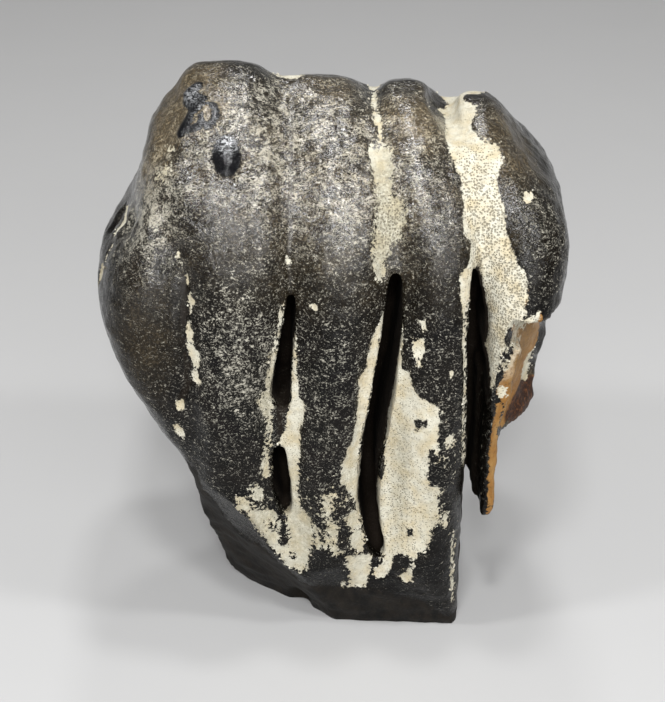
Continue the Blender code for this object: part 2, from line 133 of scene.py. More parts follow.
# The deep gaps in the seams, as blades to cut with: (z, front y, back y, middle x, half width).
GAPS = {
    "upper_split": [
        (59.0, -60, -8, -10.7, 1.0), (61, -60, -6, -10.6, 1.7), (66, -60, -4, -10.2, 1.65),
        (70.6, -60, -4, -9.7, 1.4), (75, -60, -6, -9.1, 1.25), (79.4, -60, -10, -8.5, 1.0),
        (84, -60, -12, -8.2, 0.95), (88, -60, -14, -8.1, 0.9), (92, -60, -18, -8.3, 0.5)],
    "lower_split": [
        (31.6, -60, -16, -9.8, 0.6), (34.5, -60, -12, -10.2, 1.2), (39.5, -60, -6, -10.8, 1.7),
        (44, -60, -6, -11.0, 1.6), (47, -60, -6, -11.2, 1.5), (49.8, -60, -10, -11.4, 1.0)],
    "middle_gap": [
        (20.6, -60, -20, 9.3, 0.8), (24, -60, -14, 8.8, 1.7), (28, -60, -6, 8.0, 1.8),
        (33, -60, -2, 7.3, 1.9), (37, -60, -2, 6.9, 2.0), (43.3, -60, -2, 7.2, 1.5),
        (47.8, -60, -2, 7.5, 1.55), (52, -60, -2, 8.1, 1.85), (61, -60, -2, 9.5, 2.05),
        (70, -60, -2, 10.7, 2.0), (78, -60, -4, 11.6, 1.7), (85, -60, -8, 12.0, 1.3),
        (88.5, -60, -14, 12.1, 0.5)],
    "open_gap": [
        (-9, -60, 60, 29.9, 3.1), (12, -60, 60, 29.6, 2.6), (20, -60, 34, 29.6, 2.4),
        (28, -60, 6, 29.4, 2.1), (45, -60, -2, 29.3, 2.3), (54, -60, -3, 29.0, 2.3),
        (61, -60, -4, 28.8, 2.3), (66, -60, -4, 28.5, 2.1), (71, -60, -5, 27.8, 1.6),
        (75, -60, -6, 28.1, 1.9), (79, -60, -8, 28.1, 1.8), (84, -60, -10, 27.5, 1.2),
        (88, -60, -16, 27.6, 0.8), (91, -60, -20, 27.7, 0.4)],
}

# The wall of the fifth plate that is left hanging, from its thin front edge to its thick root behind, as
# upright slabs that overlap: (z, front y, back y, middle x, half thickness).
HANGING_WALL = [
    [(27.6, -20.0, -9.0, 31.7, 0.8), (29.4, -22.0, -2.0, 32.2, 1.4), (37.0, -22.8, 4.0, 32.2, 1.45),
     (45.0, -24.0, 7.0, 32.2, 1.45), (50.0, -25.0, 8.0, 32.2, 1.5), (54.0, -25.8, 9.0, 32.4, 1.7),
     (60.0, -26.8, 10.0, 33.0, 2.3), (72.0, -28.5, 12.0, 34.2, 3.2)],
    [(27.4, -12.0, -1.0, 31.0, 1.3), (31.0, -13.0, 5.0, 31.4, 1.8), (45.0, -14.0, 12.0, 31.8, 2.2),
     (60.0, -14.0, 14.0, 32.4, 2.8)],
    [(29.2, -2.0, 6.0, 30.2, 1.6), (32.0, -2.5, 11.0, 30.3, 2.8), (36.0, -3.0, 12.5, 30.5, 3.6),
     (41.0, -3.5, 16.5, 30.6, 4.0), (48.0, -4.0, 18.5, 30.8, 4.4), (60.0, -5.0, 21.0, 31.2, 4.6)],
]

# Breaks, each along a plane: a point on it, the direction it faces, how far it reaches to each side
# and up and down, and how rough it is.
END_FACE = (Vector((-16.2, -20.5, 19.9)), Vector((-0.535, -0.678, -0.505)), (75.0, 75.0), 1.2)
UNDERCUT = (Vector((8.0, -24.4, 12.2)), Vector((-0.059, -0.916, -0.395)), (60.0, 60.0), 0.8)
PLATE_CHIP = (Vector((37.6, -18.0, 59.0)), Vector((0.84, -0.52, -0.15)), (24.0, 21.0), 2.4)
PLATE_FOOT = (Vector((45.8, -16.0, 48.4)), Vector((0.0, 0.10, -0.995)), (15.9, 75.0), 1.4)
BREAK_DEPTH = 75.0      # what lies this far beyond a break is gone
CORNER_ROUNDING = 0.14  # how far the corners of a break are drawn in

# Hollows and lumps of the surface: (x, y, z), half widths along x, y and z, and how deep it is
# sunk; a lump has a depth below nothing.
HOLLOWS = [
    ((-20.5, -17.0, 107.5), (3.8, 6.0, 5.6), 2.8),
    ((-26.0, -8.0, 113.0), (4.6, 5.0, 4.4), -1.0),
    ((-41.8, -14.5, 93.5), (3.6, 5.0, 4.6), 2.0),
    ((13.0, -29.5, 42.0), (8.5, 8.0, 27.0), 2.2),
    ((6.2, -30.5, 46.0), (3.0, 6.0, 30.0), 1.0),
    ((-7.5, -14.0, 1.5), (3.4, 5.0, 7.0), 3.0),
    ((-11.0, -30.0, 55.0), (3.4, 4.0, 7.0), 0.7),
    ((40.0, -11.0, 49.5), (6.0, 7.0, 5.0), -1.9),
    ((21.3, 4.0, 112.0), (4.0, 11.0, 5.0), 1.2),
    ((-45.5, -2.0, 85.5), (5.0, 13.0, 8.0), -0.9),
    ((-13.2, -16.5, 3.0), (4.5, 6.0, 4.5), -1.7),
    ((-1.3, -18.2, 104.6), (6.5, 7.0, 7.0), -0.9),
    ((16.7, -17.5, 105.3), (5.6, 6.5, 6.5), -0.9),
    ((-32.4, -16.3, 103.8), (6.0, 6.0, 5.0), -1.0),
    ((-36.0, -22.0, 84.0), (5.0, 8.0, 22.0), -0.8),
    ((33.5, -22.0, 94.0), (3.6, 9.0, 14.0), 1.2),
    ((-24.0, -30.0, 62.0), (4.0, 8.0, 18.0), -0.8),
    ((41.0, -12.0, 60.0), (5.0, 10.0, 9.0), 1.6),
    ((-12.0, 31.0, 70.0), (7.0, 7.0, 30.0), 1.6),
    ((24.0, 31.0, 88.0), (7.0, 8.0, 20.0), 1.4),
]
WAVINESS = 0.45        # how high the low waves in the enamel are
WAVE_SPACING = 10.0

FIRST_VOXEL = 1.1      # the grid on which the plates and the cement grow together
SMOOTHING = 5          # rounds of smoothing that fill the seams as cement does

# ---- Where each finish lies --------------------------------------------------------------------
# Outlines of the bare cement on the front, each corner as the pixel where the camera sees it.
FRONT_PATCHES = {
    "seam_c_top": [
        (374, 92), (377, 93), (375, 100), (376, 119), (382, 129), (378, 131), (373, 120), (371, 100)],
    "seam_c_band": [
        (370, 140), (378, 148), (391, 150), (393, 168), (391, 183), (393, 198), (403, 204), (406, 219),
        (401, 236), (393, 246), (388, 259), (384, 281), (378, 281), (374, 267), (373, 256), (373, 234),
        (376, 219), (379, 198), (375, 180), (372, 168), (368, 153)],
    "band_d": [
        (428, 91), (438, 99), (440, 96), (452, 93), (467, 98), (479, 108), (472, 117), (471, 130),
        (481, 138), (499, 146), (502, 163), (497, 176), (499, 189), (505, 203), (504, 218), (507, 234),
        (514, 250.8), (518, 264), (524, 271), (528, 281), (527, 300), (526, 315), (516, 322),
        (511, 328), (506, 333), (506, 343), (507, 351), (501, 358), (499, 366), (496, 378), (493, 391),
        (489, 384), (488, 375), (482, 366), (482, 348), (481, 325), (480, 305), (478, 290), (478, 262),
        (474, 285), (472, 299), (467, 300), (467, 318), (466, 333), (466, 370), (465, 400), (464, 420),
        (463, 466), (461, 466), (462, 416), (463, 399), (463, 333), (462, 317), (461, 300), (459, 280),
        (462, 273), (469, 264), (471, 243), (464, 238), (463, 226), (463, 206), (462, 193), (460, 176),
        (454, 163), (448, 146), (446, 126), (444, 110), (438, 100)],
    "plate_4_edge": [(453, 532), (455, 545), (454, 600), (452, 600), (452, 559.8)],
    "plate_4_patch_1": [(417, 320), (425, 319), (426, 331), (421, 333)],
    "plate_4_patch_2": [(410, 338), (423, 337), (424, 352), (420, 366), (417, 366), (411, 350)],
    "plate_4_patch_3": [(448, 371), (453, 371), (456, 377), (452, 379)],
    "plate_4_patch_4": [(446, 437), (452, 436), (452, 446), (447, 445)],
    "plate_4_patch_5": [(443, 514), (448, 512), (449, 521), (445, 527), (442, 522)],
    "facet": [
        (384, 470), (379, 420), (388, 380), (394, 346), (397, 322), (402, 322), (402, 345), (402, 371),
        (408, 371), (413, 389), (420, 399), (438, 406), (440, 429), (438, 441), (441, 461), (436, 452),
        (431, 448), (428, 456), (428, 478), (430, 487), (438, 487), (439, 505), (438, 524), (431, 532),
        (430, 541), (425, 555), (418, 553), (414, 566), (412, 580), (404, 584), (398, 576), (406, 572),
        (413, 562), (408, 556), (400, 554), (394, 556), (389, 570), (385, 578), (378, 578), (374, 570),
        (382, 564), (384, 556), (380, 548), (368, 530), (366, 500)],
    "strip_c_left": [
        (382, 318), (386, 319), (384, 334), (381, 343), (378, 362), (376, 375), (372, 390), (371, 400),
        (368, 420), (366, 438), (363, 452), (363, 482), (362, 497), (360.05, 507), (361, 520),
        (362, 530), (364, 546), (362, 556), (350, 547), (352, 531), (346, 521), (350, 512), (353, 500),
        (350, 492), (343, 482), (342, 466), (348, 450), (353, 439), (357, 418), (359, 400), (359, 379),
        (367, 368.8), (371, 342)],
    "plate_3_foot": [
        (346, 556), (371, 555), (371, 567), (368, 578), (366, 586), (348, 587), (350, 575), (347, 568)],
    "plate_3_speck": [(341, 583), (345, 583), (345, 588), (341, 588)],
    "plate_3_patch_1": [(323, 497), (333, 495), (332, 510), (330, 518), (322, 515)],
    "plate_3_patch_2": [
        (327, 522), (337, 523), (338, 552), (345, 550), (345, 554), (332, 555), (328, 545)],
    "plate_3_vee": [
        (310, 519), (316, 525), (320, 540), (323, 545), (326, 540), (325, 548), (318, 548), (312, 532)],
    "wall_b_right": [
        (292, 340), (295, 334), (296, 352), (297, 375), (299, 396), (304, 406), (304, 415), (300, 431),
        (299, 444), (299, 463), (298, 480), (298, 497), (301, 508), (310, 519), (313, 530), (315, 540),
        (312, 546), (308, 557), (307, 565), (302, 573), (297, 570), (290, 567), (284, 563), (279, 553),
        (277, 546), (288, 547), (289, 540), (287, 529), (286, 512), (284, 490), (283, 470), (282, 450),
        (279, 444), (286, 430), (288, 410), (289, 396), (291, 376)],
    "slot_b_left": [
        (281, 305), (284, 305), (283, 318), (280, 335), (277, 350), (276, 370), (274, 385), (274, 400),
        (272, 412), (272, 430), (270, 445), (269, 460), (270, 478), (262, 479), (262, 460), (266, 440),
        (268, 420), (258, 404), (257, 400), (266, 390), (268, 375), (272, 352), (277, 330)],
    "splash_1": [(250, 488), (256, 486), (262, 490), (263, 500), (258, 502), (252, 497)],
    "splash_2": [
        (237, 497), (248, 498), (252, 508), (262, 510), (275, 512), (280, 524), (279, 545), (286, 548),
        (290, 566), (285, 565), (279, 556), (262, 537), (255, 528), (248, 514), (238, 509)],
    "seam_a_1": [(175, 248), (178, 248), (180, 260), (177, 259)],
    "seam_a_2": [(180, 260), (184, 266), (188, 282), (186, 284), (181, 272)],
    "seam_a_3": [(186, 293), (191, 293), (195, 302), (193, 309), (187, 305)],
    "seam_a_4": [
        (186, 325), (191, 326), (193, 343), (200, 358), (199, 368), (192, 366), (188, 358), (186, 342)],
    "seam_a_5": [(190, 373), (194, 372), (202, 383), (198, 386), (192, 380)],
    "seam_a_6": [(173, 402), (183, 401), (184, 409), (178, 411)],
    "seam_a_7": [(172, 425), (178, 424), (184, 432), (184, 440), (177, 436)],
    "white_spot": [(158, 177), (164, 172), (172, 167), (172, 174), (164, 182), (158, 183)],
    "white_spot_2": [(166, 148), (174, 147), (175, 151), (168, 153)],
}

# Where enamel is left inside those patches, in pixels.
FRONT_HOLES = {
    "facet_island_1": [(412, 420), (419, 419), (420, 430), (415, 433)],
    "facet_island_2": [(421, 420), (428, 419), (428, 428), (422, 430)],
    "facet_hole": [(404, 529), (412, 530), (412, 535), (406, 537)],
    "facet_notch": [(400, 556), (410, 556), (412, 563), (404, 572), (396, 572), (394, 562)],
    "strip_c_bay": [(350, 500), (356, 503), (355, 512), (349, 512)],
    "splash_hole_1": [(268, 521), (278, 522), (279, 531), (270, 530)],
    "splash_hole_2": [(291, 552), (296, 557), (296, 561), (291, 557)],
}

# Outlines of the bare cement where the fifth plate is broken, in pixels.
BROKEN_CEMENT = {
    "pale_1": [(512, 338), (517, 339), (516, 351), (512, 352)],
    "pale_2": [(536, 345), (530, 352), (525, 362), (523, 377), (529, 381), (534, 364)],
    "pale_3": [(497, 386), (509, 387), (506, 397), (498, 399)],
    "pale_4": [(501, 361), (509, 361), (508, 371), (502, 371)],
    "pale_5": [(514, 324), (526, 319), (541, 310), (540, 316), (528, 324), (517, 330)],
}

# Outlines of the stained dentine there, in pixels.
BROKEN_PATCHES = {
    "fracture": [
        (511, 327), (526, 320), (541, 312), (539, 326), (537, 345), (531, 356), (530, 372), (525, 388),
        (523, 400), (510, 398), (500, 399), (497, 391), (502, 378), (508, 366), (513, 352), (512, 340),
        (514, 331)],
    "wall_edge": [
        (497, 400), (510, 398), (503, 408), (500, 420), (499.4, 441), (501, 465), (499.5, 476),
        (498, 512), (493.5, 533), (488.6, 532.2), (488, 482), (489, 466), (490, 444), (492, 431),
        (496, 414)],
    "chunk": [(509, 398), (516, 389), (529, 381), (529, 400), (520.5, 413.5), (504, 419), (501.4, 419)],
}

# Single spots of stained dentine: (x, y, z) and half widths.
RUST_SPOTS = [
    ((36.4, -28.4, 83.0), (0.5, 2.0, 2.0)), ((39.6, -11.5, 51.0), (5.2, 8.0, 5.6)),
    ((35.2, -19.0, 55.6), (2.6, 7.0, 5.0)),
]

# Bands of bare cement on the back: (z, left x, right x), from the foot up.
BACK_BANDS = {
    "end_seam": [
        (38.0, -27.8, -27.2), (48.0, -29.0, -27.4), (56.0, -29.2, -28.8), (64.0, -30.6, -28.6),
        (71.0, -31.0, -28.4), (76.0, -30.4, -30.0), (88.0, -30.6, -29.4)],
    "split_seam": [
        (10.0, -10.6, -6.8), (30.0, -11.8, -7.6), (46.0, -13.0, -6.2), (60.0, -12.2, -7.2),
        (84.0, -11.0, -7.6), (100.0, -9.8, -7.6), (112.0, -9.4, -7.8)],
    "middle_seam": [
        (6.0, 7.0, 11.6), (26.0, 5.0, 13.4), (40.0, 5.6, 15.0), (56.0, 7.2, 14.0), (80.0, 8.6, 14.2),
        (100.0, 8.6, 13.2), (112.0, 7.6, 9.4)],
    "broken_seam": [
        (8.0, 24.0, 28.0), (36.0, 23.6, 28.0), (52.0, 24.2, 33.0), (74.0, 24.6, 35.0), (94.0, 24.8, 34.0),
        (106.0, 23.6, 32.0), (116.0, 20.4, 30.0)],
}

# Single spots of cement: (x, y, z) and half widths.
CEMENT_SPOTS = [
    ((-8.4, 7.8, 116.0), (2.7, 3.0, 1.6)), ((-46.9, -13.0, 81.6), (1.0, 1.8, 2.2)),
    ((-8.6, -26.0, 89.8), (0.6, 3.0, 0.8)), ((-4.0, -29.1, 82.1), (0.7, 4.0, 0.7)),
    ((38.0, -18.0, 100.0), (1.0, 3.0, 0.8)), ((45.4, -13.0, 84.0), (1.2, 1.6, 2.4)),
    ((42.6, -22.0, 86.0), (1.0, 2.0, 1.4)), ((-2.0, 33.0, 44.0), (2.0, 4.0, 6.0)),
    ((19.0, 32.0, 56.0), (1.6, 4.0, 10.0)),
]

# The upper edge of the worn foot, in pixels, and the corners that close it off the tooth: (x, z).
FOOT_EDGE = [
    (196.3, 468), (203, 488), (209, 494), (215, 499), (227, 518), (240, 534), (260, 544.2),
    (273, 555.6), (287, 568), (302, 581), (323, 586), (347, 588), (375, 590.3), (400, 594.1),
    (424.8, 602.6), (440, 611.6), (449.6, 620.5)]
FOOT_LEFT = [(-60.0, -10.0), (-60.0, 58.0), (-31.0, 47.0)]
FOOT_RIGHT = [(60.0, -2.0), (60.0, -10.0)]

# The thin crease beside the end plate, pressed in and painted dark as shade, in pixels, its half width and
# its depth.
END_CREASE = ([
    (183.6, 275), (185, 300), (184, 320), (183, 340), (186, 355), (188, 370), (187, 385), (183, 396),
    (178, 404)], 0.6, 0.9)
# More creases, pressed in and painted dark as shade: (x, z) of the places each runs through, half width and
# depth.
CREASES = [
    ([(-8.3, 114.0), (-8.5, 110.5), (-8.1, 107.8), (-8.5, 105.1), (-8.3, 102.2), (-8.7, 99.0),
      (-8.4, 95.6), (-8.7, 92.1), (-8.5, 84.0)], 0.15, 0.6),
    ([(-10.2, 61.5), (-10.2, 51.0)], 1.1, 0.5),
]

# Thin lines of cement along the front's seams: (x, z) of a start over the crest, if it has one, the
# pixels it then runs through, and its half width.
CEMENT_LINES = [
    ([], [
        (176, 248), (179, 256), (181, 265), (184, 272), (186, 280), (188, 290), (190, 300), (190, 312),
        (189, 325), (190, 340), (192, 355), (195, 368), (199, 380)], 0.15),
    ([(7.8, 112.9)], [
        (374, 100), (376, 110), (378, 120), (380, 130), (381, 140)], 0.5),
]

# Low rises of the visible skin over the cut form: (x, y, z), half widths, height.
RISES = [((-12.2, -24.0, 98.0), (4.0, 16.0, 20.0), 0.9)]

# Black tar in ridges on the end plate, each as the places it runs through and its half width, and
# the pit that it has run into: its middle and half widths.
TAR_RIDGES = [
    ([(-27.0, -1.4, 116.8), (-28.3, -2.7, 115.9), (-28.4, -4.7, 115.0), (-27.6, -6.8, 114.7),
      (-26.6, -8.0, 114.6)], 1.3),
    ([(-28.3, -3.0, 115.8), (-26.4, -4.4, 115.6), (-25.4, -5.2, 115.6), (-26.0, -6.9, 115.2)], 0.8),
    ([(-27.2, -8.2, 114.4), (-28.0, -9.4, 113.4), (-28.6, -10.2, 112.5), (-29.4, -11.7, 110.9)], 1.2),
    ([(-28.9, -11.2, 111.3), (-27.6, -11.8, 111.7), (-26.4, -11.6, 112.2)], 0.8),
    ([(-26.0, -8.0, 115.0), (-24.6, -6.9, 115.3), (-23.5, -7.2, 115.0), (-22.9, -9.3, 113.9),
      (-23.4, -11.0, 112.8), (-24.7, -11.8, 112.1), (-25.9, -11.0, 112.8), (-25.8, -9.4, 114.2),
      (-26.0, -8.0, 115.0)], 0.75),
]
TAR_PIT = ((-20.7, -16.0, 107.6), (3.0, 4.6, 4.6))

# Thin lines of cement, stained dentine and shadow in the notch at the left edge.
NOTCH_CEMENT = [
    ([(-42.1, -4.6, 92.0), (-41.9, -7.6, 92.0), (-41.9, -9.9, 91.6), (-42.5, -10.2, 90.7),
      (-43.2, -10.0, 89.8), (-43.8, -10.4, 89.0)], 0.75),
    ([(-44.0, -13.3, 88.2), (-45.2, -13.0, 86.4), (-45.5, -13.8, 85.3)], 0.4),
]
NOTCH_RUST = ([(-46.3, -6.1, 86.7), (-45.8, -9.0, 86.9), (-45.3, -11.3, 86.7)], 0.75)
NOTCH_HOLE = ([(-43.3, -2.0, 90.6), (-43.9, -4.6, 89.6), (-44.9, -6.0, 88.4)], 1.2)

# Soft clouds of finish, each as (x, y, z), half widths and strength. Where the enamel is brown:
BROWN_CLOUDS = [
    ((0.0, -14.0, 100.0), (46.0, 26.0, 26.0), 0.42),
    ((-29.0, -1.0, 113.0), (11.0, 16.0, 8.0), 1.6),
    ((-36.0, -10.0, 105.0), (7.0, 10.0, 8.0), 1.0),
    ((16.0, -6.0, 112.0), (8.0, 13.0, 7.0), 0.9),
    ((35.0, -5.0, 107.0), (10.0, 15.0, 9.0), 0.8),
    ((-1.0, 2.0, 116.0), (10.0, 10.0, 4.0), 0.7),
    ((-37.0, -24.0, 74.0), (8.0, 12.0, 16.0), 0.3),
    ((39.8, -12.5, 50.6), (5.6, 12.0, 6.4), 3.0),
    ((-30.0, 16.0, 100.0), (16.0, 20.0, 16.0), 0.9),
    ((20.0, 26.0, 100.0), (22.0, 14.0, 12.0), 0.7),
]
# Where flecks of cement lie on the enamel.
FLECK_CLOUDS = [
    ((-2.0, -29.0, 36.0), (6.0, 8.0, 15.0), 0.75),
    ((3.0, -28.0, 42.0), (3.0, 8.0, 14.0), 0.5),
    ((22.5, -29.0, 48.0), (3.0, 8.0, 20.0), 0.75),
    ((18.0, -30.0, 60.0), (5.0, 8.0, 8.0), 0.4),
    ((20.0, -30.0, 74.0), (6.0, 8.0, 10.0), 0.4),
    ((-15.0, -27.0, 36.0), (6.0, 8.0, 6.0), 0.6),
    ((-31.0, -27.0, 56.0), (4.0, 8.0, 9.0), 0.35),
    ((31.4, -20.0, 44.0), (1.6, 6.0, 16.0), 0.8),
    ((12.0, 31.0, 50.0), (12.0, 8.0, 30.0), 0.5),
    ((-14.0, 31.0, 50.0), (9.0, 8.0, 26.0), 0.5),
]
# Where the enamel has most grey grains: fine dust, and on the upper front a painted sheen.
DUST_AND_SHEEN_CLOUDS = [
    ((3.0, -14.0, 106.0), (30.0, 30.0, 24.0), 0.54),
    ((-22.0, -8.0, 110.0), (18.0, 26.0, 18.0), 0.35),
    ((-37.0, -16.0, 96.0), (11.0, 14.0, 14.0), 0.85),
    ((0.0, -30.0, 76.0), (40.0, 14.0, 30.0), 0.15),
    ((-2.0, -30.0, 50.0), (44.0, 14.0, 34.0), 0.22),
    ((-19.0, -30.0, 76.0), (9.0, 14.0, 22.0), 0.35),
    ((41.0, -18.0, 90.0), (7.0, 14.0, 18.0), 0.4),
    ((0.0, 30.0, 74.0), (50.0, 16.0, 40.0), 0.3),
]
# Where a pale grey highlight is painted on the tar.
PAINTED_GLEAM_CLOUDS = [
    ((-20.6, -13.8, 110.2), (2.8, 3.0, 2.6), 1.3),
    ((-28.0, -4.0, 115.4), (2.4, 4.0, 2.4), 0.5),
    ((-24.6, -9.4, 113.4), (4.0, 4.6, 3.6), 0.25),
]
# Where the varnish lies thickest.
VARNISH_CLOUDS = [
    ((4.0, -10.0, 110.0), (56.0, 34.0, 25.0), 1.0),
    ((-36.0, -16.0, 92.0), (16.0, 20.0, 18.0), 0.6),
    ((0.0, 24.0, 96.0), (60.0, 24.0, 26.0), 0.5),
]
# Where the cement is loose and dirty, with more ragged borders, and where the shade on the facet's left wall
# is painted grey.
LOOSE_DIRT_AND_SHADE_CLOUDS = [
    ((0.0, 30.0, 60.0), (60.0, 20.0, 64.0), 0.8),
    ((11.0, -20.0, 96.0), (6.0, 16.0, 18.0), 1.3),
    ((-2.0, -29.0, 28.0), (12.0, 10.0, 24.0), 0.8),
    ((24.0, -28.0, 30.0), (6.0, 10.0, 30.0), 0.6),
    ((-16.0, -26.0, 36.0), (8.0, 10.0, 16.0), 0.7),
    ((-33.0, -20.0, 104.0), (8.0, 10.0, 8.0), 0.8),
    ((-14.5, -28.0, 62.0), (3.6, 8.0, 18.0), 1.2),
    ((36.0, -22.0, 71.0), (6.0, 10.0, 9.0), 1.2),
    # Painted shade on the shaded left wall of the facet.
    ((12.8, -29.0, 42.0), (2.2, 6.0, 24.0), 0.7),
]
# Where the pores of the cement are widest.
PORE_CLOUDS = [
    ((33.0, -26.0, 88.0), (8.0, 10.0, 18.0), 1.4),
    ((28.0, -19.0, 103.0), (8.0, 12.0, 14.0), 0.9),
    ((11.0, -22.0, 95.0), (5.0, 8.0, 10.0), 0.9),
    ((33.0, -28.0, 70.0), (5.0, 6.0, 10.0), 0.8),
    ((15.0, -26.0, 40.0), (9.0, 8.0, 28.0), 0.55),
    ((-8.0, 30.0, 50.0), (7.0, 9.0, 26.0), 0.9),
    ((10.0, 30.0, 50.0), (8.0, 9.0, 26.0), 0.8),
    ((28.0, 26.0, 80.0), (8.0, 14.0, 26.0), 1.0),
]

# The arc of small lamps overhead: place in metres and share of the lamp power.
LAMPS = [
    ((0.00, -0.61, 0.49), 1.2), ((-0.04, -0.38, 0.70), 1.3), ((0.04, 0.00, 0.81), 0.9),
    ((0.00, 0.32, 0.74), 0.6), ((-0.44, -0.25, 0.61), 1.0), ((0.44, -0.25, 0.61), 1.0),
]
LAMP_SIZE = (0.08, 0.08)
FILL_PLACE = (0.12, -0.76, 0.34)
FILL_SIZE = (0.9, 0.4)
LIT_PLACE = Vector((0.0, 0.0, 0.06))   # where all lamps point
ROOM_COLOUR = (1.0, 0.98, 0.96, 1.0)

# The floor, in metres: it runs from the front to a curve that turns up into the backdrop.
FLOOR_FRONT = -2.0
CURVE_START = 0.9
CURVE_RADIUS = 0.6
BACKDROP_TOP = 3.0
FLOOR_HALF_WIDTH = 3.0

# The camera: what it looks at, from how far and how steeply, in the tables' millimetres and degrees.
CAMERA_AIM = Vector((-0.45, 0.79, 58.0))
CAMERA_DISTANCE = 400.0
CAMERA_TILT = math.radians(28.0)
CAMERA_FORWARD = Vector((0.0, math.cos(CAMERA_TILT), -math.sin(CAMERA_TILT)))
CAMERA_UP = Vector((0.0, math.sin(CAMERA_TILT), math.cos(CAMERA_TILT)))
CAMERA_EYE = CAMERA_AIM - CAMERA_DISTANCE * CAMERA_FORWARD
CAMERA_LENS = 96.0
SENSOR_WIDTH = 36.0
PICTURE_SIZE = (665, 702)
AIM_PIXEL = (331.5, 343.5)   # where the aim comes out in the picture

# How far behind the plates' fronts an outline may still lie, among the plates and at the break.
PLATE_REACH = 7.0
BREAK_REACH = 30.0
SKIN_BEHIND = 1.2            # how far the skin lies behind SIDE_OUTLINE, after its smoothing
SIGHT_STEPS = np.arange(250.0, 500.0, 0.1)[:, None]   # distances from the eye at which it looks


# ---- Sizes and colours that can be changed -------------------------------------------------------
class ToothSettings(bpy.types.PropertyGroup):
    skin_grid: bpy.props.FloatProperty(
        name="Skin grid", description="Spacing of the finished skin's mesh",
        default=0.78 * MM, min=0.5 * MM, max=3 * MM, precision=5, subtype="DISTANCE", unit="LENGTH")
    cement_recess: bpy.props.FloatProperty(
        name="Cement recess", description="How far the bare cement lies below the enamel round it",
        default=0.3 * MM, min=0, max=2 * MM, precision=5, subtype="DISTANCE", unit="LENGTH")
    wrinkle_height: bpy.props.FloatProperty(
        name="Wrinkle height", description="Height of the fine wrinkles in the varnished enamel",
        default=0.20 * MM, min=0, max=2 * MM, precision=5, subtype="DISTANCE", unit="LENGTH")
    enamel_colour: bpy.props.FloatVectorProperty(
        name="Enamel", description="Colour of the varnished enamel where it is darkest",
        default=(0.0020, 0.0018, 0.0015), size=3, min=0, max=1, subtype="COLOR")
    brown_colour: bpy.props.FloatVectorProperty(
        name="Brown enamel", description="Colour of the worn tops and the brown clouds",
        default=(0.060, 0.045, 0.025), size=3, min=0, max=1, subtype="COLOR")
    cement_colour: bpy.props.FloatVectorProperty(
        name="Cement", description="Colour of the bare cement",
        default=(0.63, 0.605, 0.50), size=3, min=0, max=1, subtype="COLOR")
    rust_colour: bpy.props.FloatVectorProperty(
        name="Stained dentine", description="Colour of the broken edges",
        default=(0.25, 0.12, 0.030), size=3, min=0, max=1, subtype="COLOR")
    pore_spacing: bpy.props.FloatProperty(
        name="Pore spacing", description="Distance between the pores of the cement",
        default=0.47 * MM, min=0.3 * MM, max=3 * MM, precision=5, subtype="DISTANCE", unit="LENGTH")
    crumb_count: bpy.props.IntProperty(
        name="Crumbs", description="How many loose crumbs of cement cling to the borders",
        default=260, min=0, max=2000)


class StageSettings(bpy.types.PropertyGroup):
    floor_colour: bpy.props.FloatVectorProperty(
        name="Floor", description="Colour of the floor and the backdrop",
        default=(0.50, 0.50, 0.50), size=3, min=0, max=1, subtype="COLOR")
    lamp_power: bpy.props.FloatProperty(
        name="Lamps", description="Power of each small lamp of the arc overhead",
        default=1.35, min=0, unit="POWER")
    fill_power: bpy.props.FloatProperty(
        name="Front fill", description="Power of the wide soft light low at the front",
        default=4.2, min=0, unit="POWER")
    world_strength: bpy.props.FloatProperty(
        name="Room light", description="Brightness of the even light from all round", default=0.2, min=0)


# ---- The form ----------------------------------------------------------------------------------
def eased(stations, at):
    """Values of a table of stations at the given place, on a smooth curve through its rows.

    The first number of a row is the place and the rest are the values.
    """
    places = [row[0] for row in stations]
    at = min(max(at, places[0]), places[-1])
    i = min(max(sum(p <= at for p in places) - 1, 0), len(places) - 2)
    span = places[i + 1] - places[i]
    t = (at - places[i]) / span
    found = []
    for k in range(1, len(stations[0])):
        here, there = stations[i][k], stations[i + 1][k]
        before = stations[max(i - 1, 0)]
        after = stations[min(i + 2, len(stations) - 1)]
        rise_in = (there - before[k]) / (places[i + 1] - before[0]) * span
        rise_out = (after[k] - here) / (after[0] - places[i]) * span
        found.append(here * (1 + 2 * t) * (1 - t) ** 2 + rise_in * t * (1 - t) ** 2
                     + there * t * t * (3 - 2 * t) - rise_out * t * t * (1 - t))
    return found


def section(half, reach, cap, squareness, points=36):
    """A slab's outline seen from above, as (across, along) pairs: flat sides and rounded ends."""
    outline = []
    for i in range(points):
        turn = 2 * math.pi * i / points
        across = math.copysign(abs(math.cos(turn)) ** (2 / squareness), math.cos(turn))
        along = math.copysign(abs(math.sin(turn)) ** (2 / squareness), math.sin(turn))
        flat = 0.0 if abs(math.sin(turn)) < 1e-6 else math.copysign(reach - cap, along)
        outline.append((half * across, flat + cap * along))
    return outline


def slab_rings(edges, spine, cap, squareness=PLATE_SQUARENESS):
    """Rings of points for a slab from its edges, rows of (front y, front z, back y, back z)."""
    rings = []
    for front_y, front_z, back_y, back_z in edges:
        front, back = Vector((0, front_y, front_z)), Vector((0, back_y, back_z))
        middle, reach = (front + back) / 2, (back - front).length / 2
        inward = (back - front).normalized()
        x, half = spine(middle.z)
        outline = section(half, reach, min(cap, reach), squareness)
        rings.append([middle + inward * along + Vector((x + across, 0, 0)) for across, along in outline])
    return rings


def side_edges(crest, foot, front=1.0, back=1.0, steps=44):
    """The front and back edge of a plate of this height, from its foot to its crest."""
    rows = [(i, *row) for i, row in enumerate(SIDE_OUTLINE)]
    edges = []
    for step in range(steps + 1):
        front_y, front_z, back_y, back_z = eased(rows, step * (len(rows) - 1) / steps)
        height = crest / FULL_OUTLINE
        if (front_z + back_z) / 2 * height >= foot:
            edges.append((front_y * front, front_z * height, back_y * back, back_z * height))
    return edges


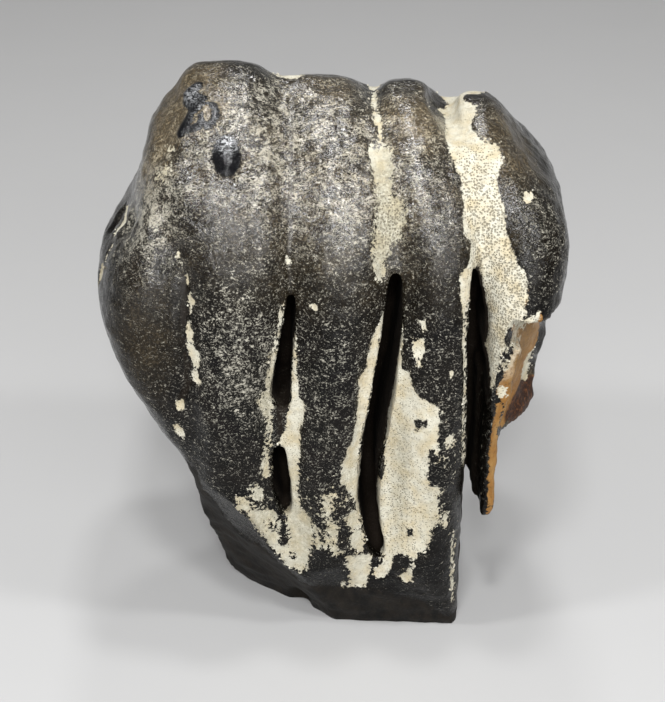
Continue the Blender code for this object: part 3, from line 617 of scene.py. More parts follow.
def cement_edges(rows, steps=40):
    """The front and back edge of the cement in a seam, which lie behind those of a full plate."""
    bottom, top = rows[0][0], rows[-1][0]
    full = side_edges(FULL_OUTLINE, -4.0)
    fronts = [(row[1], row[0]) for row in full]
    backs = [(row[3], row[2]) for row in full]
    edges = []
    for step in range(steps + 1):
        z = bottom + (top - bottom) * step / steps
        _, _, front_recess, back_recess = eased(rows, z)
        front_y, back_y = eased(fronts, z)[0], eased(backs, z)[0]
        edges.append((front_y + front_recess, z, back_y - back_recess, z))
    return edges


def add_loft(bm, rings):
    """Adds a closed skin over rings of equally many points."""
    skin = [[bm.verts.new(point * MM) for point in ring] for ring in rings]
    for lower, upper in zip(skin, skin[1:]):
        for i in range(len(lower)):
            j = (i + 1) % len(lower)
            bm.faces.new((lower[i], lower[j], upper[j], upper[i]))
    bm.faces.new(reversed(skin[0]))
    bm.faces.new(skin[-1])


def mesh_object(name, bm):
    """An object in the scene from a finished bmesh."""
    mesh = bpy.data.meshes.new(name)
    bm.to_mesh(mesh)
    bm.free()
    made = bpy.data.objects.new(name, mesh)
    bpy.context.scene.collection.objects.link(made)
    return made


def plates_and_cement():
    """All plates and the cement between them, as overlapping closed skins in one mesh."""
    bm = bmesh.new()
    for plate in PLATES.values():
        edges = side_edges(plate["crest"], plate["foot"], plate["front"], plate["back"])
        add_loft(bm, slab_rings(edges, lambda z, rows=plate["spine"]: eased(rows, z), plate["cap"]))
    for rows in CEMENT.values():
        add_loft(bm, slab_rings(cement_edges(rows), lambda z, rows=rows: eased(rows, z)[:2], cap=4.0))
    return mesh_object("fossil_tooth", bm)


def add_blade(bm, rows, cap, squareness, steps=36):
    """Adds a thin upright slab from rows of (z, front y, back y, middle x, half thickness)."""
    bottom, top = rows[0][0], rows[-1][0]
    heights = [bottom + (top - bottom) * step / steps for step in range(steps + 1)]
    edges = [(eased(rows, z)[0], z, eased(rows, z)[1], z) for z in heights]
    add_loft(bm, slab_rings(edges, lambda z: eased(rows, z)[2:], cap, squareness))


def gap_cutter(name, rows):
    """One deep gap, as a blade to cut with."""
    bm = bmesh.new()
    add_blade(bm, rows, cap=2.0, squareness=3.0)
    return mesh_object(name, bm)


def hang_wall(tooth):
    """Adds the hanging wall to the cut tooth's mesh; the next remesh makes them one skin."""
    bm = bmesh.new()
    bm.from_mesh(tooth.data)
    for slab in HANGING_WALL:
        add_blade(bm, slab, cap=2.0, squareness=3.5)
    bm.to_mesh(tooth.data)
    bm.free()


def rough_block(name, point, facing, size, roughness, cells=14):
    """A cutter: a block whose near face lies on a plane, broken rough, and removes what is beyond."""
    bm = bmesh.new()
    bmesh.ops.create_grid(bm, x_segments=cells, y_segments=cells, size=MM)
    for vert in bm.verts:
        across, along = vert.co.x / MM, vert.co.y / MM
        vert.co.x *= size[0] * (1 - CORNER_ROUNDING * along ** 2)
        vert.co.y *= size[1] * (1 - CORNER_ROUNDING * across ** 2)
        lump = noise.noise(vert.co / (9 * MM) + Vector((point.x, point.y, 0)))
        vert.co.z += lump * roughness * MM
    moved = bmesh.ops.extrude_face_region(bm, geom=bm.faces[:])["geom"]
    for vert in moved:
        if isinstance(vert, bmesh.types.BMVert):
            vert.co.z = BREAK_DEPTH * MM
    bmesh.ops.recalc_face_normals(bm, faces=bm.faces)
    cutter = mesh_object(name, bm)
    cutter.matrix_world = (Matrix.Translation(point * MM)
                           @ facing.to_track_quat("Z", "Y").to_matrix().to_4x4())
    return cutter


def box_block(name, low, high):
    """A plain box from its lowest to its highest corner, to cut with."""
    bm = bmesh.new()
    bmesh.ops.create_cube(bm, size=1.0)
    size, middle = (high - low) * MM, (high + low) / 2 * MM
    bmesh.ops.transform(bm, matrix=Matrix.Translation(middle) @ Matrix.Diagonal(size).to_4x4(),
                        verts=bm.verts)
    return mesh_object(name, bm)


def add_boolean(made, other):
    """Takes another object's shape away from this one."""
    modifier = made.modifiers.new(other.name, "BOOLEAN")
    modifier.operation = "DIFFERENCE"
    modifier.object = other


def add_remesh(made, voxel, smoothing):
    """Makes one skin on a regular grid, then smooths it."""
    remesh = made.modifiers.new("Grow together", "REMESH")
    remesh.mode = "VOXEL"
    remesh.voxel_size = voxel
    smooth = made.modifiers.new("Smooth", "SMOOTH")
    smooth.factor = 0.5
    smooth.iterations = smoothing


def bake_modifiers(made):
    """Replaces an object's mesh by what its modifiers make of it, and drops what they cut with."""
    graph = bpy.context.evaluated_depsgraph_get()
    mesh = bpy.data.meshes.new_from_object(made.evaluated_get(graph))
    cutters = [m.object for m in made.modifiers if m.type == "BOOLEAN"]
    made.modifiers.clear()
    made.data = mesh
    for cutter in cutters:
        bpy.data.objects.remove(cutter)


def grown_tooth(skin_grid):
    """The tooth's form on a fine grid, before its relief."""
    tooth = plates_and_cement()
    add_remesh(tooth, FIRST_VOXEL * MM, SMOOTHING)
    for name, plane in (("end_face", END_FACE), ("undercut", UNDERCUT), ("plate_chip", PLATE_CHIP),
                        ("plate_foot", PLATE_FOOT)):
        add_boolean(tooth, rough_block(name, *plane))
    for name, rows in GAPS.items():
        add_boolean(tooth, gap_cutter(name, rows))
    bake_modifiers(tooth)
    hang_wall(tooth)
    add_remesh(tooth, skin_grid, 1)
    bake_modifiers(tooth)
    return tooth


# ---- Relief and the lie of the finishes ----------------------------------------------------------
def smooth_step(value, low, high):
    """0 below low, 1 above high, and soft between."""
    t = np.clip((value - low) / (high - low), 0, 1)
    return t * t * (3 - 2 * t)


def noise_at(places, spacing, shift=0.0):
    """Noise between -1 and 1 at each place; spacing is one length or one along each axis."""
    scaled = places / spacing + shift
    return np.array([noise.noise(Vector(row)) for row in scaled])


def plain_solid():
    """The plain solid as a tree to aim at, in the tables' millimetres."""
    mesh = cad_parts["mammoth_tooth"].data
    points = [vertex.co / MM - TO_MIDDLE for vertex in mesh.vertices]
    return BVHTree.FromPolygons(points, [tuple(face.vertices) for face in mesh.polygons])


def seen_place(solid, pixel, reach):
    """Where the camera sees a pixel: on the solid or, over the gaps in it, on the plates' fronts."""
    focal = CAMERA_LENS / SENSOR_WIDTH * max(PICTURE_SIZE)
    right, up = Vector((pixel[0] - AIM_PIXEL[0], 0, 0)), CAMERA_UP * (AIM_PIXEL[1] - pixel[1])
    sight = (CAMERA_FORWARD * focal + right + up).normalized()
    along = np.array(CAMERA_EYE) + np.array(sight) * SIGHT_STEPS
    front = np.interp(along[:, 2], [row[1] for row in SIDE_OUTLINE], [row[0] for row in SIDE_OUTLINE])
    arrived = (along[:, 2] < 0) | (along[:, 1] > front + SKIN_BEHIND)
    over = Vector(along[np.argmax(arrived)])
    hit = solid.ray_cast(CAMERA_EYE, sight)[0]
    return over if hit is None or abs(hit.y - over.y) >= reach else hit


def seen_outline(solid, pixels, reach=PLATE_REACH):
    """Where the camera sees a row of pixels, as (x, z) to a tenth of a millimetre."""
    seen = [seen_place(solid, pixel, reach) for pixel in pixels]
    return [(round(place.x, 1), round(place.z, 1)) for place in seen]


def outline_depth(places, outline):
    """How deep each place is inside an outline on the front, in millimetres, and below nothing outside."""
    corners = np.array(outline)
    depth = np.full(len(places), -FAR)
    flat = places[:, ::2]
    close = np.all((flat > corners.min(0) - FAR) & (flat < corners.max(0) + FAR), axis=1)
    flat = flat[close]
    away, inside = np.full(len(flat), FAR), np.zeros(len(flat), bool)
    for start, end in zip(corners, np.roll(corners, -1, axis=0)):
        edge = end - start
        share = np.clip((flat - start) @ edge / (edge @ edge), 0, 1)
        away = np.minimum(away, np.linalg.norm(flat - start - share[:, None] * edge, axis=1))
        if start[1] != end[1]:
            across = start[0] + (flat[:, 1] - start[1]) * edge[0] / edge[1]
            inside ^= ((start[1] > flat[:, 1]) != (end[1] > flat[:, 1])) & (flat[:, 0] < across)
    depth[close] = np.where(inside, away, -away)
    return depth


def band_depth(places, rows):
    """How deep each place is inside a band, in millimetres, and below nothing outside it."""
    table = np.array(rows)
    x, z = places[:, 0], places[:, 2]
    left, right = np.interp(z, table[:, 0], table[:, 1]), np.interp(z, table[:, 0], table[:, 2])
    ends = np.minimum(z - table[0, 0], table[-1, 0] - z)
    return np.minimum(np.minimum(x - left, right - x), ends)


def spot_depth(places, middle, widths):
    """How deep each place is inside an egg-shaped spot, in millimetres, and below nothing outside."""
    away = np.linalg.norm((places - middle) / np.array(widths), axis=1)
    return (1 - away) * min(widths)


def line_depth(places, line, half_width):
    """How deep each place is inside a band along a line, in millimetres, and below nothing outside."""
    away = np.full(len(places), 9.0)
    for start, end in zip(np.array(line), np.array(line[1:])):
        edge = end - start
        share = np.clip((places - start) @ edge / (edge @ edge), 0, 1)
        away = np.minimum(away, np.linalg.norm(places - start - share[:, None] * edge, axis=1))
    return half_width - away


def clouds(places, table):
    """Soft clouds from a table of (middle, half widths, strength), added up."""
    total = np.zeros(len(places))
    for middle, widths, strength in table:
        away = np.linalg.norm((places - middle) / np.array(widths), axis=1)
        total += strength * smooth_step(1.25 - away, 0, 1.0)
    return total


def plate_front(z):
    """The front y of a full plate at each height."""
    table = np.array([(row[1], row[0]) for row in side_edges(FULL_OUTLINE, -4.0)])
    return np.interp(z, table[:, 0], table[:, 1])


def gap_shade(places):
    """The painted shade of the open gaps: 1 deep inside one, 0 on the outside."""
    x, y, z = places.T
    deep = smooth_step(y - plate_front(z), 3.0, 7.5)
    shade = np.zeros(len(places))
    for rows in GAPS.values():
        table = np.array(rows)
        middle, half = (np.interp(z, table[:, 0], table[:, k]) for k in (3, 4))
        near = smooth_step(half + 1.1 - np.abs(x - middle), 0, 0.9)
        ends = smooth_step(np.minimum(z - table[0, 0], table[-1, 0] - z), -1.5, 0.5)
        shade = np.maximum(shade, near * deep * ends)
    hanging = smooth_step(x, 29.5, 30.5) * smooth_step(62.0 - z, 0, 6.0)
    return shade * (1 - 0.7 * hanging * smooth_step(-y, 8.0, 18.0))


def cement_depth(places, solid):
    """How deep each place is inside bare cement, with the patches' ragged borders."""
    front = np.full(len(places), -FAR)
    for pixels in FRONT_PATCHES.values():
        front = np.maximum(front, outline_depth(places, seen_outline(solid, pixels)))
    for pixels in BROKEN_CEMENT.values():
        front = np.maximum(front, outline_depth(places, seen_outline(solid, pixels, BREAK_REACH)))
    for pixels in FRONT_HOLES.values():
        front = np.minimum(front, -outline_depth(places, seen_outline(solid, pixels)))
    for start, pixels, half_width in CEMENT_LINES:
        line = start + seen_outline(solid, pixels)
        front = np.maximum(front, line_depth(places[:, ::2], line, half_width))
    back = np.full(len(places), -FAR)
    for rows in BACK_BANDS.values():
        back = np.maximum(back, band_depth(places, rows))
    back += 3.0 * noise_at(places, (7.0, 7.0, 12.0)) + 1.2 * noise_at(places, 3.2, 8.0)
    depth = np.where(places[:, 1] < BACK_STARTS, front, back)
    for middle, widths in CEMENT_SPOTS:
        depth = np.maximum(depth, spot_depth(places, middle, widths))
    for line, half_width in NOTCH_CEMENT:
        depth = np.maximum(depth, line_depth(places, line, half_width))
    ragged = 0.30 * noise_at(places, 2.6) + 0.22 * noise_at(places, 1.5, 7.0)
    return np.clip(depth + ragged, -FAR, FAR)


def tar_depth(places):
    """How deep each place is inside the tar, in millimetres."""
    depth = spot_depth(places, *TAR_PIT)
    for line, half_width in TAR_RIDGES:
        depth = np.maximum(depth, line_depth(places, line, half_width))
    return np.clip(depth, -FAR, FAR)


def worn_depth(places, solid):
    """How deep each place is inside the worn foot, in millimetres."""
    beyond = [(places - np.array(point)) @ np.array(facing) for point, facing, _, _ in (END_FACE, UNDERCUT)]
    near_break = np.maximum(*beyond) + 2.4 + noise_at(places, 6.0, 4.0)
    outline = FOOT_LEFT + seen_outline(solid, FOOT_EDGE, BREAK_REACH) + FOOT_RIGHT
    worn = np.minimum(outline_depth(places, outline), near_break)
    worn = np.maximum(worn, 3 - places[:, 2])
    return np.clip(worn + 0.25 * noise_at(places, 2.4, 13.0), -FAR, FAR)


def rust_depth(places, normals, solid):
    """How deep each place is inside the stained dentine, which ends where the skin turns from the front."""
    rust = np.full(len(places), -FAR)
    for pixels in BROKEN_PATCHES.values():
        rust = np.maximum(rust, outline_depth(places, seen_outline(solid, pixels, BREAK_REACH)))
    ragged = 1.6 * noise_at(places, 4.0, 21.0)
    for middle, widths in RUST_SPOTS:
        rust = np.maximum(rust, spot_depth(places, middle, widths) + ragged)
    rust = np.maximum(rust, line_depth(places, *NOTCH_RUST))
    facing = (-0.12 - normals[:, 1]) * 7 + 1.4 * noise_at(places, 4.0, 6.0)
    rust = np.minimum(rust, np.minimum(facing, (-3.0 - places[:, 1]) * 0.4))
    return np.clip(rust + 0.25 * noise_at(places, 1.7, 2.0), -FAR, FAR)


def egg_shade(places, middle, widths):
    """1 in the middle of an egg-shaped place, 0 from its rim on, and soft between."""
    near = np.clip(1 - np.linalg.norm((places - middle) / np.array(widths), axis=1), 0, 1)
    return near * near * (3 - 2 * near)


def crease_shades(places, solid):
    """Each crease as (1 where it lies and 0 elsewhere, its depth)."""
    on_front = places[:, 1] < BACK_STARTS
    pixels, *sizes = END_CREASE
    creases = [(seen_outline(solid, pixels), *sizes), *CREASES]
    return [(smooth_step(line_depth(places[:, ::2], line, half_width), -0.7, 0.4) * on_front, sunk)
            for line, half_width, sunk in creases]


def relief_depth(places, finishes, creases, cement_recess):
    """How far the skin is pressed in at each place, in millimetres."""
    depth = WAVINESS * noise_at(places, WAVE_SPACING)
    for middle, widths, sunk in HOLLOWS:
        depth += sunk * egg_shade(places, middle, widths)
    for middle, widths, height in RISES:
        depth -= height * egg_shade(places, middle, widths)
    for shade, sunk in creases:
        depth += sunk * shade
    depth += 1.2 * smooth_step(line_depth(places, *NOTCH_HOLE), -0.8, 0.8)

    bare = smooth_step(finishes["cement"], -0.35, 0.35)
    broken = smooth_step(finishes["rust"], -0.4, 0.4)
    enamel = 0.22 * noise_at(places, (5.0, 5.0, 2.4), 3.0) + 0.16 * noise_at(places, 2.3, 11.0)
    grains = 0.10 * noise_at(places, 1.8, 5.0)
    depth += enamel * (1 - bare) + grains * bare + bare * (1 - broken) * cement_recess
    rough = np.maximum(smooth_step(finishes["worn"], -0.4, 0.4), broken)
    depth += 0.35 * noise_at(places, (5.0, 5.0, 7.0), 9.0) * rough
    ridges = smooth_step(finishes["tar"], -0.5, 0.9) * (spot_depth(places, *TAR_PIT) < -0.3)
    return depth - 0.7 * ridges


def cloud_finishes(places, cement):
    """The finishes that lie in soft clouds, with the painted sheen of the enamel and the painted highlight
    of the tar.
    """
    z = places[:, 2]
    brown = clouds(places, BROWN_CLOUDS) * (1.0 + 0.5 * noise_at(places, 4.0, 17.0))
    dust_and_sheen = clouds(places, DUST_AND_SHEEN_CLOUDS) + 0.12 * smooth_step(z, 25, 60)
    flecks = clouds(places, FLECK_CLOUDS) + 0.35 * smooth_step(70.0 - z, 0, 40)
    flecks += 0.45 * smooth_step(cement, -2.2, -0.1)
    return {
        "varnish": np.clip(clouds(places, VARNISH_CLOUDS), 0, 1),
        "painted_gleam": np.clip(clouds(places, PAINTED_GLEAM_CLOUDS), 0, 1),
        "loose": np.clip(clouds(places, LOOSE_DIRT_AND_SHADE_CLOUDS), 0, 1),
        "brown": np.clip(brown, 0, 1.5),
        "pores": np.clip(clouds(places, PORE_CLOUDS), 0, 1.5),
        "dust_and_sheen": np.clip(dust_and_sheen, 0, 1),
        "flecks": np.clip(flecks, 0, 1.5),
    }


def read_points(mesh, kind):
    """The points of a mesh ("co") or their normals ("normal"), as rows of three numbers."""
    values = np.empty(len(mesh.vertices) * 3, np.float32)
    mesh.vertices.foreach_get(kind, values)
    return values.reshape(-1, 3)


def finish_surface(tooth, cement_recess):
    """Presses the relief into the skin and writes where each finish lies, and where shade is painted."""
    mesh = tooth.data
    places = read_points(mesh, "co").astype(float) / MM
    normals = read_points(mesh, "normal").astype(float)

    solid = plain_solid()
    shade = gap_shade(places)
    tar = tar_depth(places)
    # Deep in the gaps the bare cement gives way to the painted shade.
    cement = cement_depth(places, solid) - 3.0 * smooth_step(shade, 0.55, 1.0)
    cement = np.where(tar > 0, -FAR, cement)
    finishes = {
        "cement": cement,
        "worn": worn_depth(places, solid),
        "rust": rust_depth(places, normals, solid),
        "tar": tar,
    }
    creases = crease_shades(places, solid)
    depth = relief_depth(places, finishes, creases, cement_recess / MM)
    moved = (places - normals * depth[:, None] + np.array(TO_MIDDLE)) * MM
    mesh.vertices.foreach_set("co", moved.astype(np.float32).ravel())

    # Painted shade: the creases and the notch's hole are painted dark where no cement shows, joining the
    # painted shade of the gaps.
    creased = np.max([crease for crease, _ in creases], axis=0)
    hole = smooth_step(line_depth(places, *NOTCH_HOLE), -0.3, 0.5)
    dark = np.maximum(0.9 * creased, hole) * (cement < -0.4)
    finishes["gap_shade"] = np.maximum(shade, dark)
    finishes.update(cloud_finishes(places, cement))
    for name, values in finishes.items():
        attribute = mesh.attributes.new(name, "FLOAT", "POINT")
        attribute.data.foreach_set("value", values.astype(np.float32))
    mesh.update()
    mesh.shade_smooth()


def add_crumbs(tooth, count):
    """Loose crumbs of cement that cling to the borders of the bare cement, as one mesh."""
    mesh = tooth.data
    places = read_points(mesh, "co")
    kept = {}
    for name in ("cement", "worn", "gap_shade"):
        kept[name] = np.empty(len(places), np.float32)
        mesh.attributes[name].data.foreach_get("value", kept[name])
    border = np.nonzero((np.abs(kept["cement"] + 0.1) < 0.4) & (kept["worn"] < -1.0)
                        & (kept["gap_shade"] < 0.1) & (places[:, 2] > 2 * MM))[0]
    random = np.random.default_rng(CRUMB_SEED)
    bm = bmesh.new()
    for index in random.choice(border, count, replace=False):
        width = random.uniform(0.18, 0.42) ** 1.3 * MM
        turn = Matrix.Rotation(random.uniform(0, math.pi), 4, Vector(random.normal(size=3)).normalized())
        stretch = Matrix.Diagonal((*random.uniform(0.6, 1.4, 3) * width, 1))
        place = Matrix.Translation(Vector(places[index].tolist()))
        bmesh.ops.create_icosphere(bm, subdivisions=1, radius=1.0, matrix=place @ turn @ stretch)
    return mesh_object("cement_crumbs", bm)


# ---- Materials -----------------------------------------------------------------------------------
class Nodes:
    """Builds a material's nodes, with one short call for each."""

    def __init__(self, material):
        material.use_nodes = True
        self.tree = material.node_tree
        self.shader = self.tree.nodes["Principled BSDF"]
        self.place = self.add("ShaderNodeTexCoord").outputs["Object"]

    def add(self, kind, inputs=None, **settings):
        made = self.tree.nodes.new(kind)
        for name, value in settings.items():
            setattr(made, name, value)
        for name, value in (inputs or {}).items():
            self.put(made.inputs[name], value)
        return made

    def put(self, socket, value):
        if isinstance(value, bpy.types.NodeSocket):
            self.tree.links.new(value, socket)
        else:
            socket.default_value = value

    def attribute(self, name):
        return self.add("ShaderNodeAttribute", attribute_name=name).outputs["Fac"]

    def math(self, operation, first, second=0.0, clamp=False):
        made = self.add("ShaderNodeMath", {0: first, 1: second}, operation=operation, use_clamp=clamp)
        return made.outputs[0]

    def stretched(self, across, along, up):
        """The place, squeezed along each axis so that a pattern comes out stretched."""
        made = self.add("ShaderNodeVectorMath", {0: self.place, 1: (across, along, up)},
                        operation="MULTIPLY")
        return made.outputs[0]

    def noise(self, spacing, detail=3.0, roughness=0.55, distortion=0.0, place=None):
        """Noise between 0 and 1 whose lumps are about this far apart, in metres."""
        made = self.add("ShaderNodeTexNoise", {
            "Vector": self.place if place is None else place, "Scale": 1 / spacing, "Detail": detail,
            "Roughness": roughness, "Distortion": distortion})
        return made.outputs["Fac"]

    def cells(self, spacing, randomness):
        """Distance to the nearest cell centre, in shares of the spacing."""
        inputs = {"Vector": self.place, "Scale": 1 / spacing, "Randomness": randomness}
        return self.add("ShaderNodeTexVoronoi", inputs).outputs["Distance"]

    def ramp(self, value, low, high, to_low=0.0, to_high=1.0):
        """Maps low to to_low and high to to_high, and holds them beyond."""
        made = self.add("ShaderNodeMapRange", {
            "Value": value, "From Min": low, "From Max": high, "To Min": to_low, "To Max": to_high})
        return made.outputs[0]

    def mix(self, share, first, second):
        """Mixes two colours."""
        made = self.add("ShaderNodeMix", data_type="RGBA")
        self.put(made.inputs[0], share)
        for socket, colour in ((made.inputs[6], first), (made.inputs[7], second)):
            self.put(socket, (*colour, 1.0) if isinstance(colour, tuple) else colour)
        return made.outputs[2]

    def blend(self, share, first, second):
        """Mixes two values."""
        made = self.add("ShaderNodeMix", data_type="FLOAT")
        for socket, value in ((made.inputs[0], share), (made.inputs[2], first), (made.inputs[3], second)):
            self.put(socket, value)
        return made.outputs[0]


class FossilNodes(Nodes):
    """The noises and the written clouds that the finishes of the fossil share."""

    def __init__(self, material):
        super().__init__(material)
        self.fine = self.noise(0.8 * MM, 4, 0.65)
        self.speck = self.noise(0.62 * MM, 3, 0.7)
        self.broad = self.noise(6 * MM, 4, 0.6)
        self.patchy = self.noise(2.6 * MM, 4, 0.65, 0.5)
        self.streak = self.noise(2.2 * MM, 4, 0.65, place=self.stretched(1.0, 1.0, 0.22))
        self.brown = self.attribute("brown")
        self.loose = self.attribute("loose")
        self.varnish = self.attribute("varnish")

    def inside(self, name, raggedness, softness):
        """1 inside a finish and 0 outside it, with a finely ragged border."""
        ragged = self.ramp(self.fine, 0.3, 0.7, -raggedness, raggedness)
        return self.ramp(self.math("ADD", self.attribute(name), ragged), -softness, softness)


def pores(nodes, spacing):
    """1 in the dark pores of the cement, 0 between them."""
    size = nodes.ramp(nodes.attribute("pores"), 0.0, 1.0, 0.16, 0.42)
    edge = nodes.math("SUBTRACT", size, nodes.cells(spacing, randomness=0.7))
    return nodes.ramp(edge, -0.05, 0.10)


def bare_cement(nodes, worn):
    """1 where the cement shows, with crisp ragged borders and single flecks, and 0 elsewhere."""
    ragged = nodes.math("MULTIPLY", nodes.ramp(nodes.fine, 0.25, 0.75, -1.0, 1.0),
                        nodes.ramp(nodes.loose, 0.0, 1.0, 0.55, 1.7))
    bare = nodes.ramp(nodes.math("ADD", nodes.attribute("cement"), ragged), -0.08, 0.10)
    fleck_line = nodes.ramp(nodes.attribute("flecks"), 0.0, 1.5, 0.76, 0.52)
    flecks = nodes.math("SUBTRACT", nodes.noise(1.5 * MM, 5, 0.72), fleck_line)
    flecks = nodes.math("MULTIPLY", nodes.ramp(flecks, 0.0, 0.02), nodes.math("SUBTRACT", 1.0, worn))
    return nodes.math("MAXIMUM", bare, flecks)


def wrinkle_ridge(nodes):
    """The fine wrinkles of the varnish: 0 in the folds and more towards the ridges."""
    wrinkle = nodes.noise(0.95 * MM, 3, 0.62, 1.0, place=nodes.stretched(0.75, 0.75, 1.4))
    ridge = nodes.math("ABSOLUTE", nodes.math("SUBTRACT", wrinkle, 0.5))
    return nodes.math("ADD", ridge, nodes.ramp(nodes.speck, 0.3, 0.7, -0.05, 0.05))


def dust_and_painted_sheen(nodes, ridge):
    """Grey grit on the enamel, partly dust and partly painted sheen, with painted glint threads where the
    varnish is thick.
    """
    grade = nodes.math("MULTIPLY", nodes.attribute("dust_and_sheen"), nodes.ramp(nodes.patchy, 0.34, 0.6, 0.25, 1.2))
    line = nodes.ramp(grade, 0.0, 1.0, 0.17, 0.0)
    grit = nodes.math("SUBTRACT", nodes.noise(0.42 * MM, 3, 0.75), nodes.ramp(line, 0.0, 0.17, 0.47, 0.63))
    dust_and_sheen = nodes.ramp(nodes.math("SUBTRACT", ridge, line), 0.0, 0.09)
    dust_and_sheen = nodes.math("MULTIPLY", dust_and_sheen, nodes.ramp(grit, -0.10, 0.04, 0.35, 1.0))
    dust_and_sheen = nodes.math("MAXIMUM", dust_and_sheen, nodes.ramp(grit, 0.0, 0.12, 0.0, 0.75))
    dust_and_sheen = nodes.math("MULTIPLY", dust_and_sheen, nodes.ramp(nodes.varnish, 0, 1, 1, 0.85))

    # Painted glints: thin crinkled threads of pale colour where the varnish is thick.
    crinkle = nodes.noise(2.0 * MM, 3, 0.55, 1.6, place=nodes.stretched(0.8, 0.8, 1.5))
    crinkle = nodes.math("ABSOLUTE", nodes.math("SUBTRACT", crinkle, 0.5))
    painted_glint = nodes.math("SUBTRACT", nodes.ramp(line, 0.0, 0.17, 0.026, 0.002), crinkle)
    painted_glint = nodes.math("MULTIPLY", nodes.ramp(painted_glint, -0.006, 0.004), nodes.ramp(nodes.patchy, 0.42, 0.56))
    painted_glint = nodes.math("MULTIPLY", painted_glint, nodes.varnish)
    return nodes.math("MAXIMUM", dust_and_sheen, painted_glint)


def enamel_colour(nodes, settings, ridge):
    """Black enamel, browner in clouds, with tan specks, grey dust and painted sheen."""
    brown_share = nodes.math("MULTIPLY", nodes.brown, nodes.ramp(nodes.broad, 0.25, 0.6, 0.35, 1.0))
    enamel = nodes.mix(nodes.ramp(nodes.broad, 0.4, 0.7), tuple(settings.enamel_colour),
                       (0.006, 0.0047, 0.0034))
    enamel = nodes.mix(nodes.math("MULTIPLY", brown_share, 0.8, clamp=True), enamel,
                       tuple(settings.brown_colour))
    tan = nodes.math("MULTIPLY", nodes.ramp(nodes.speck, 0.5, 0.68),
                     nodes.math("MULTIPLY", brown_share, 0.6))
    enamel = nodes.mix(tan, enamel, (0.26, 0.20, 0.12))
    # The colour of the grey dust and of the painted sheen and glints.
    grey = nodes.mix(brown_share, (0.54, 0.515, 0.43), (0.47, 0.41, 0.29))
    return nodes.mix(nodes.math("MULTIPLY", dust_and_painted_sheen(nodes, ridge), 0.85), enamel, grey)


def cement_colour(nodes, settings, pore):
    """Cream cement with yellow and grey patches, dirt where it is loose and painted shade on the facet's
    left wall, and dark pores.
    """
    cement = nodes.mix(nodes.ramp(nodes.noise(3.5 * MM, 3), 0.40, 0.65), tuple(settings.cement_colour),
                       (0.55, 0.48, 0.33))
    grey = nodes.ramp(nodes.noise(1.4 * MM, 4, 0.7), 0.48, 0.75, 0, 0.6)
    cement = nodes.mix(grey, cement, (0.30, 0.27, 0.20))
    cement = nodes.mix(nodes.ramp(nodes.speck, 0.55, 0.8, 0, 0.5), cement, (0.78, 0.76, 0.68))
    # Dirt where the cement is loose, and painted shade on the facet's left wall.
    dirt_and_shade = nodes.math("MULTIPLY", nodes.loose, nodes.ramp(nodes.speck, 0.35, 0.6, 0.15, 0.85))
    cement = nodes.mix(dirt_and_shade, cement, (0.27, 0.25, 0.18))
    return nodes.mix(nodes.math("MULTIPLY", pore, 0.6), cement, (0.15, 0.13, 0.09))


def foot_colour(nodes):
    """The worn foot and the broken end: dull, brown-grey and streaked."""
    foot = nodes.mix(nodes.ramp(nodes.streak, 0.35, 0.7), (0.0025, 0.0022, 0.0018), (0.016, 0.0125, 0.009))
    return nodes.mix(nodes.ramp(nodes.speck, 0.6, 0.8, 0, 0.4), foot, (0.10, 0.08, 0.06))


def rust_colour(nodes, settings):
    """Stained dentine: orange-brown and streaked, fluffy where loose, red-brown in the brown clouds."""
    rust = nodes.mix(nodes.ramp(nodes.streak, 0.45, 0.65), tuple(settings.rust_colour), (0.34, 0.195, 0.065))
    rust = nodes.mix(nodes.ramp(nodes.fine, 0.25, 0.42, 1, 0), rust, (0.075, 0.040, 0.018))
    edge = nodes.math("ADD", nodes.attribute("rust"), nodes.ramp(nodes.patchy, 0.3, 0.7, -1.0, 1.0))
    fluffy = nodes.mix(nodes.ramp(edge, 0.7, 1.7), (0.58, 0.52, 0.40), (0.21, 0.125, 0.050))
    fluffy = nodes.mix(nodes.ramp(nodes.fine, 0.3, 0.55, 0.7, 0.0), fluffy, (0.09, 0.055, 0.028))
    rust = nodes.mix(nodes.math("MULTIPLY", nodes.loose, 0.9), rust, fluffy)
    red_brown = nodes.mix(nodes.ramp(nodes.fine, 0.5, 0.7), (0.030, 0.012, 0.006), (0.16, 0.06, 0.02))
    return nodes.mix(nodes.ramp(nodes.brown, 0.6, 1.2), rust, red_brown)


def tar_colour(nodes, ridge):
    """Black tar with a painted pale grey highlight along its ridges."""
    painted_gleam = nodes.math("MULTIPLY", nodes.ramp(ridge, 0.02, 0.10), nodes.attribute("painted_gleam"))
    return nodes.mix(painted_gleam, (0.003, 0.0032, 0.004), (0.42, 0.43, 0.44))


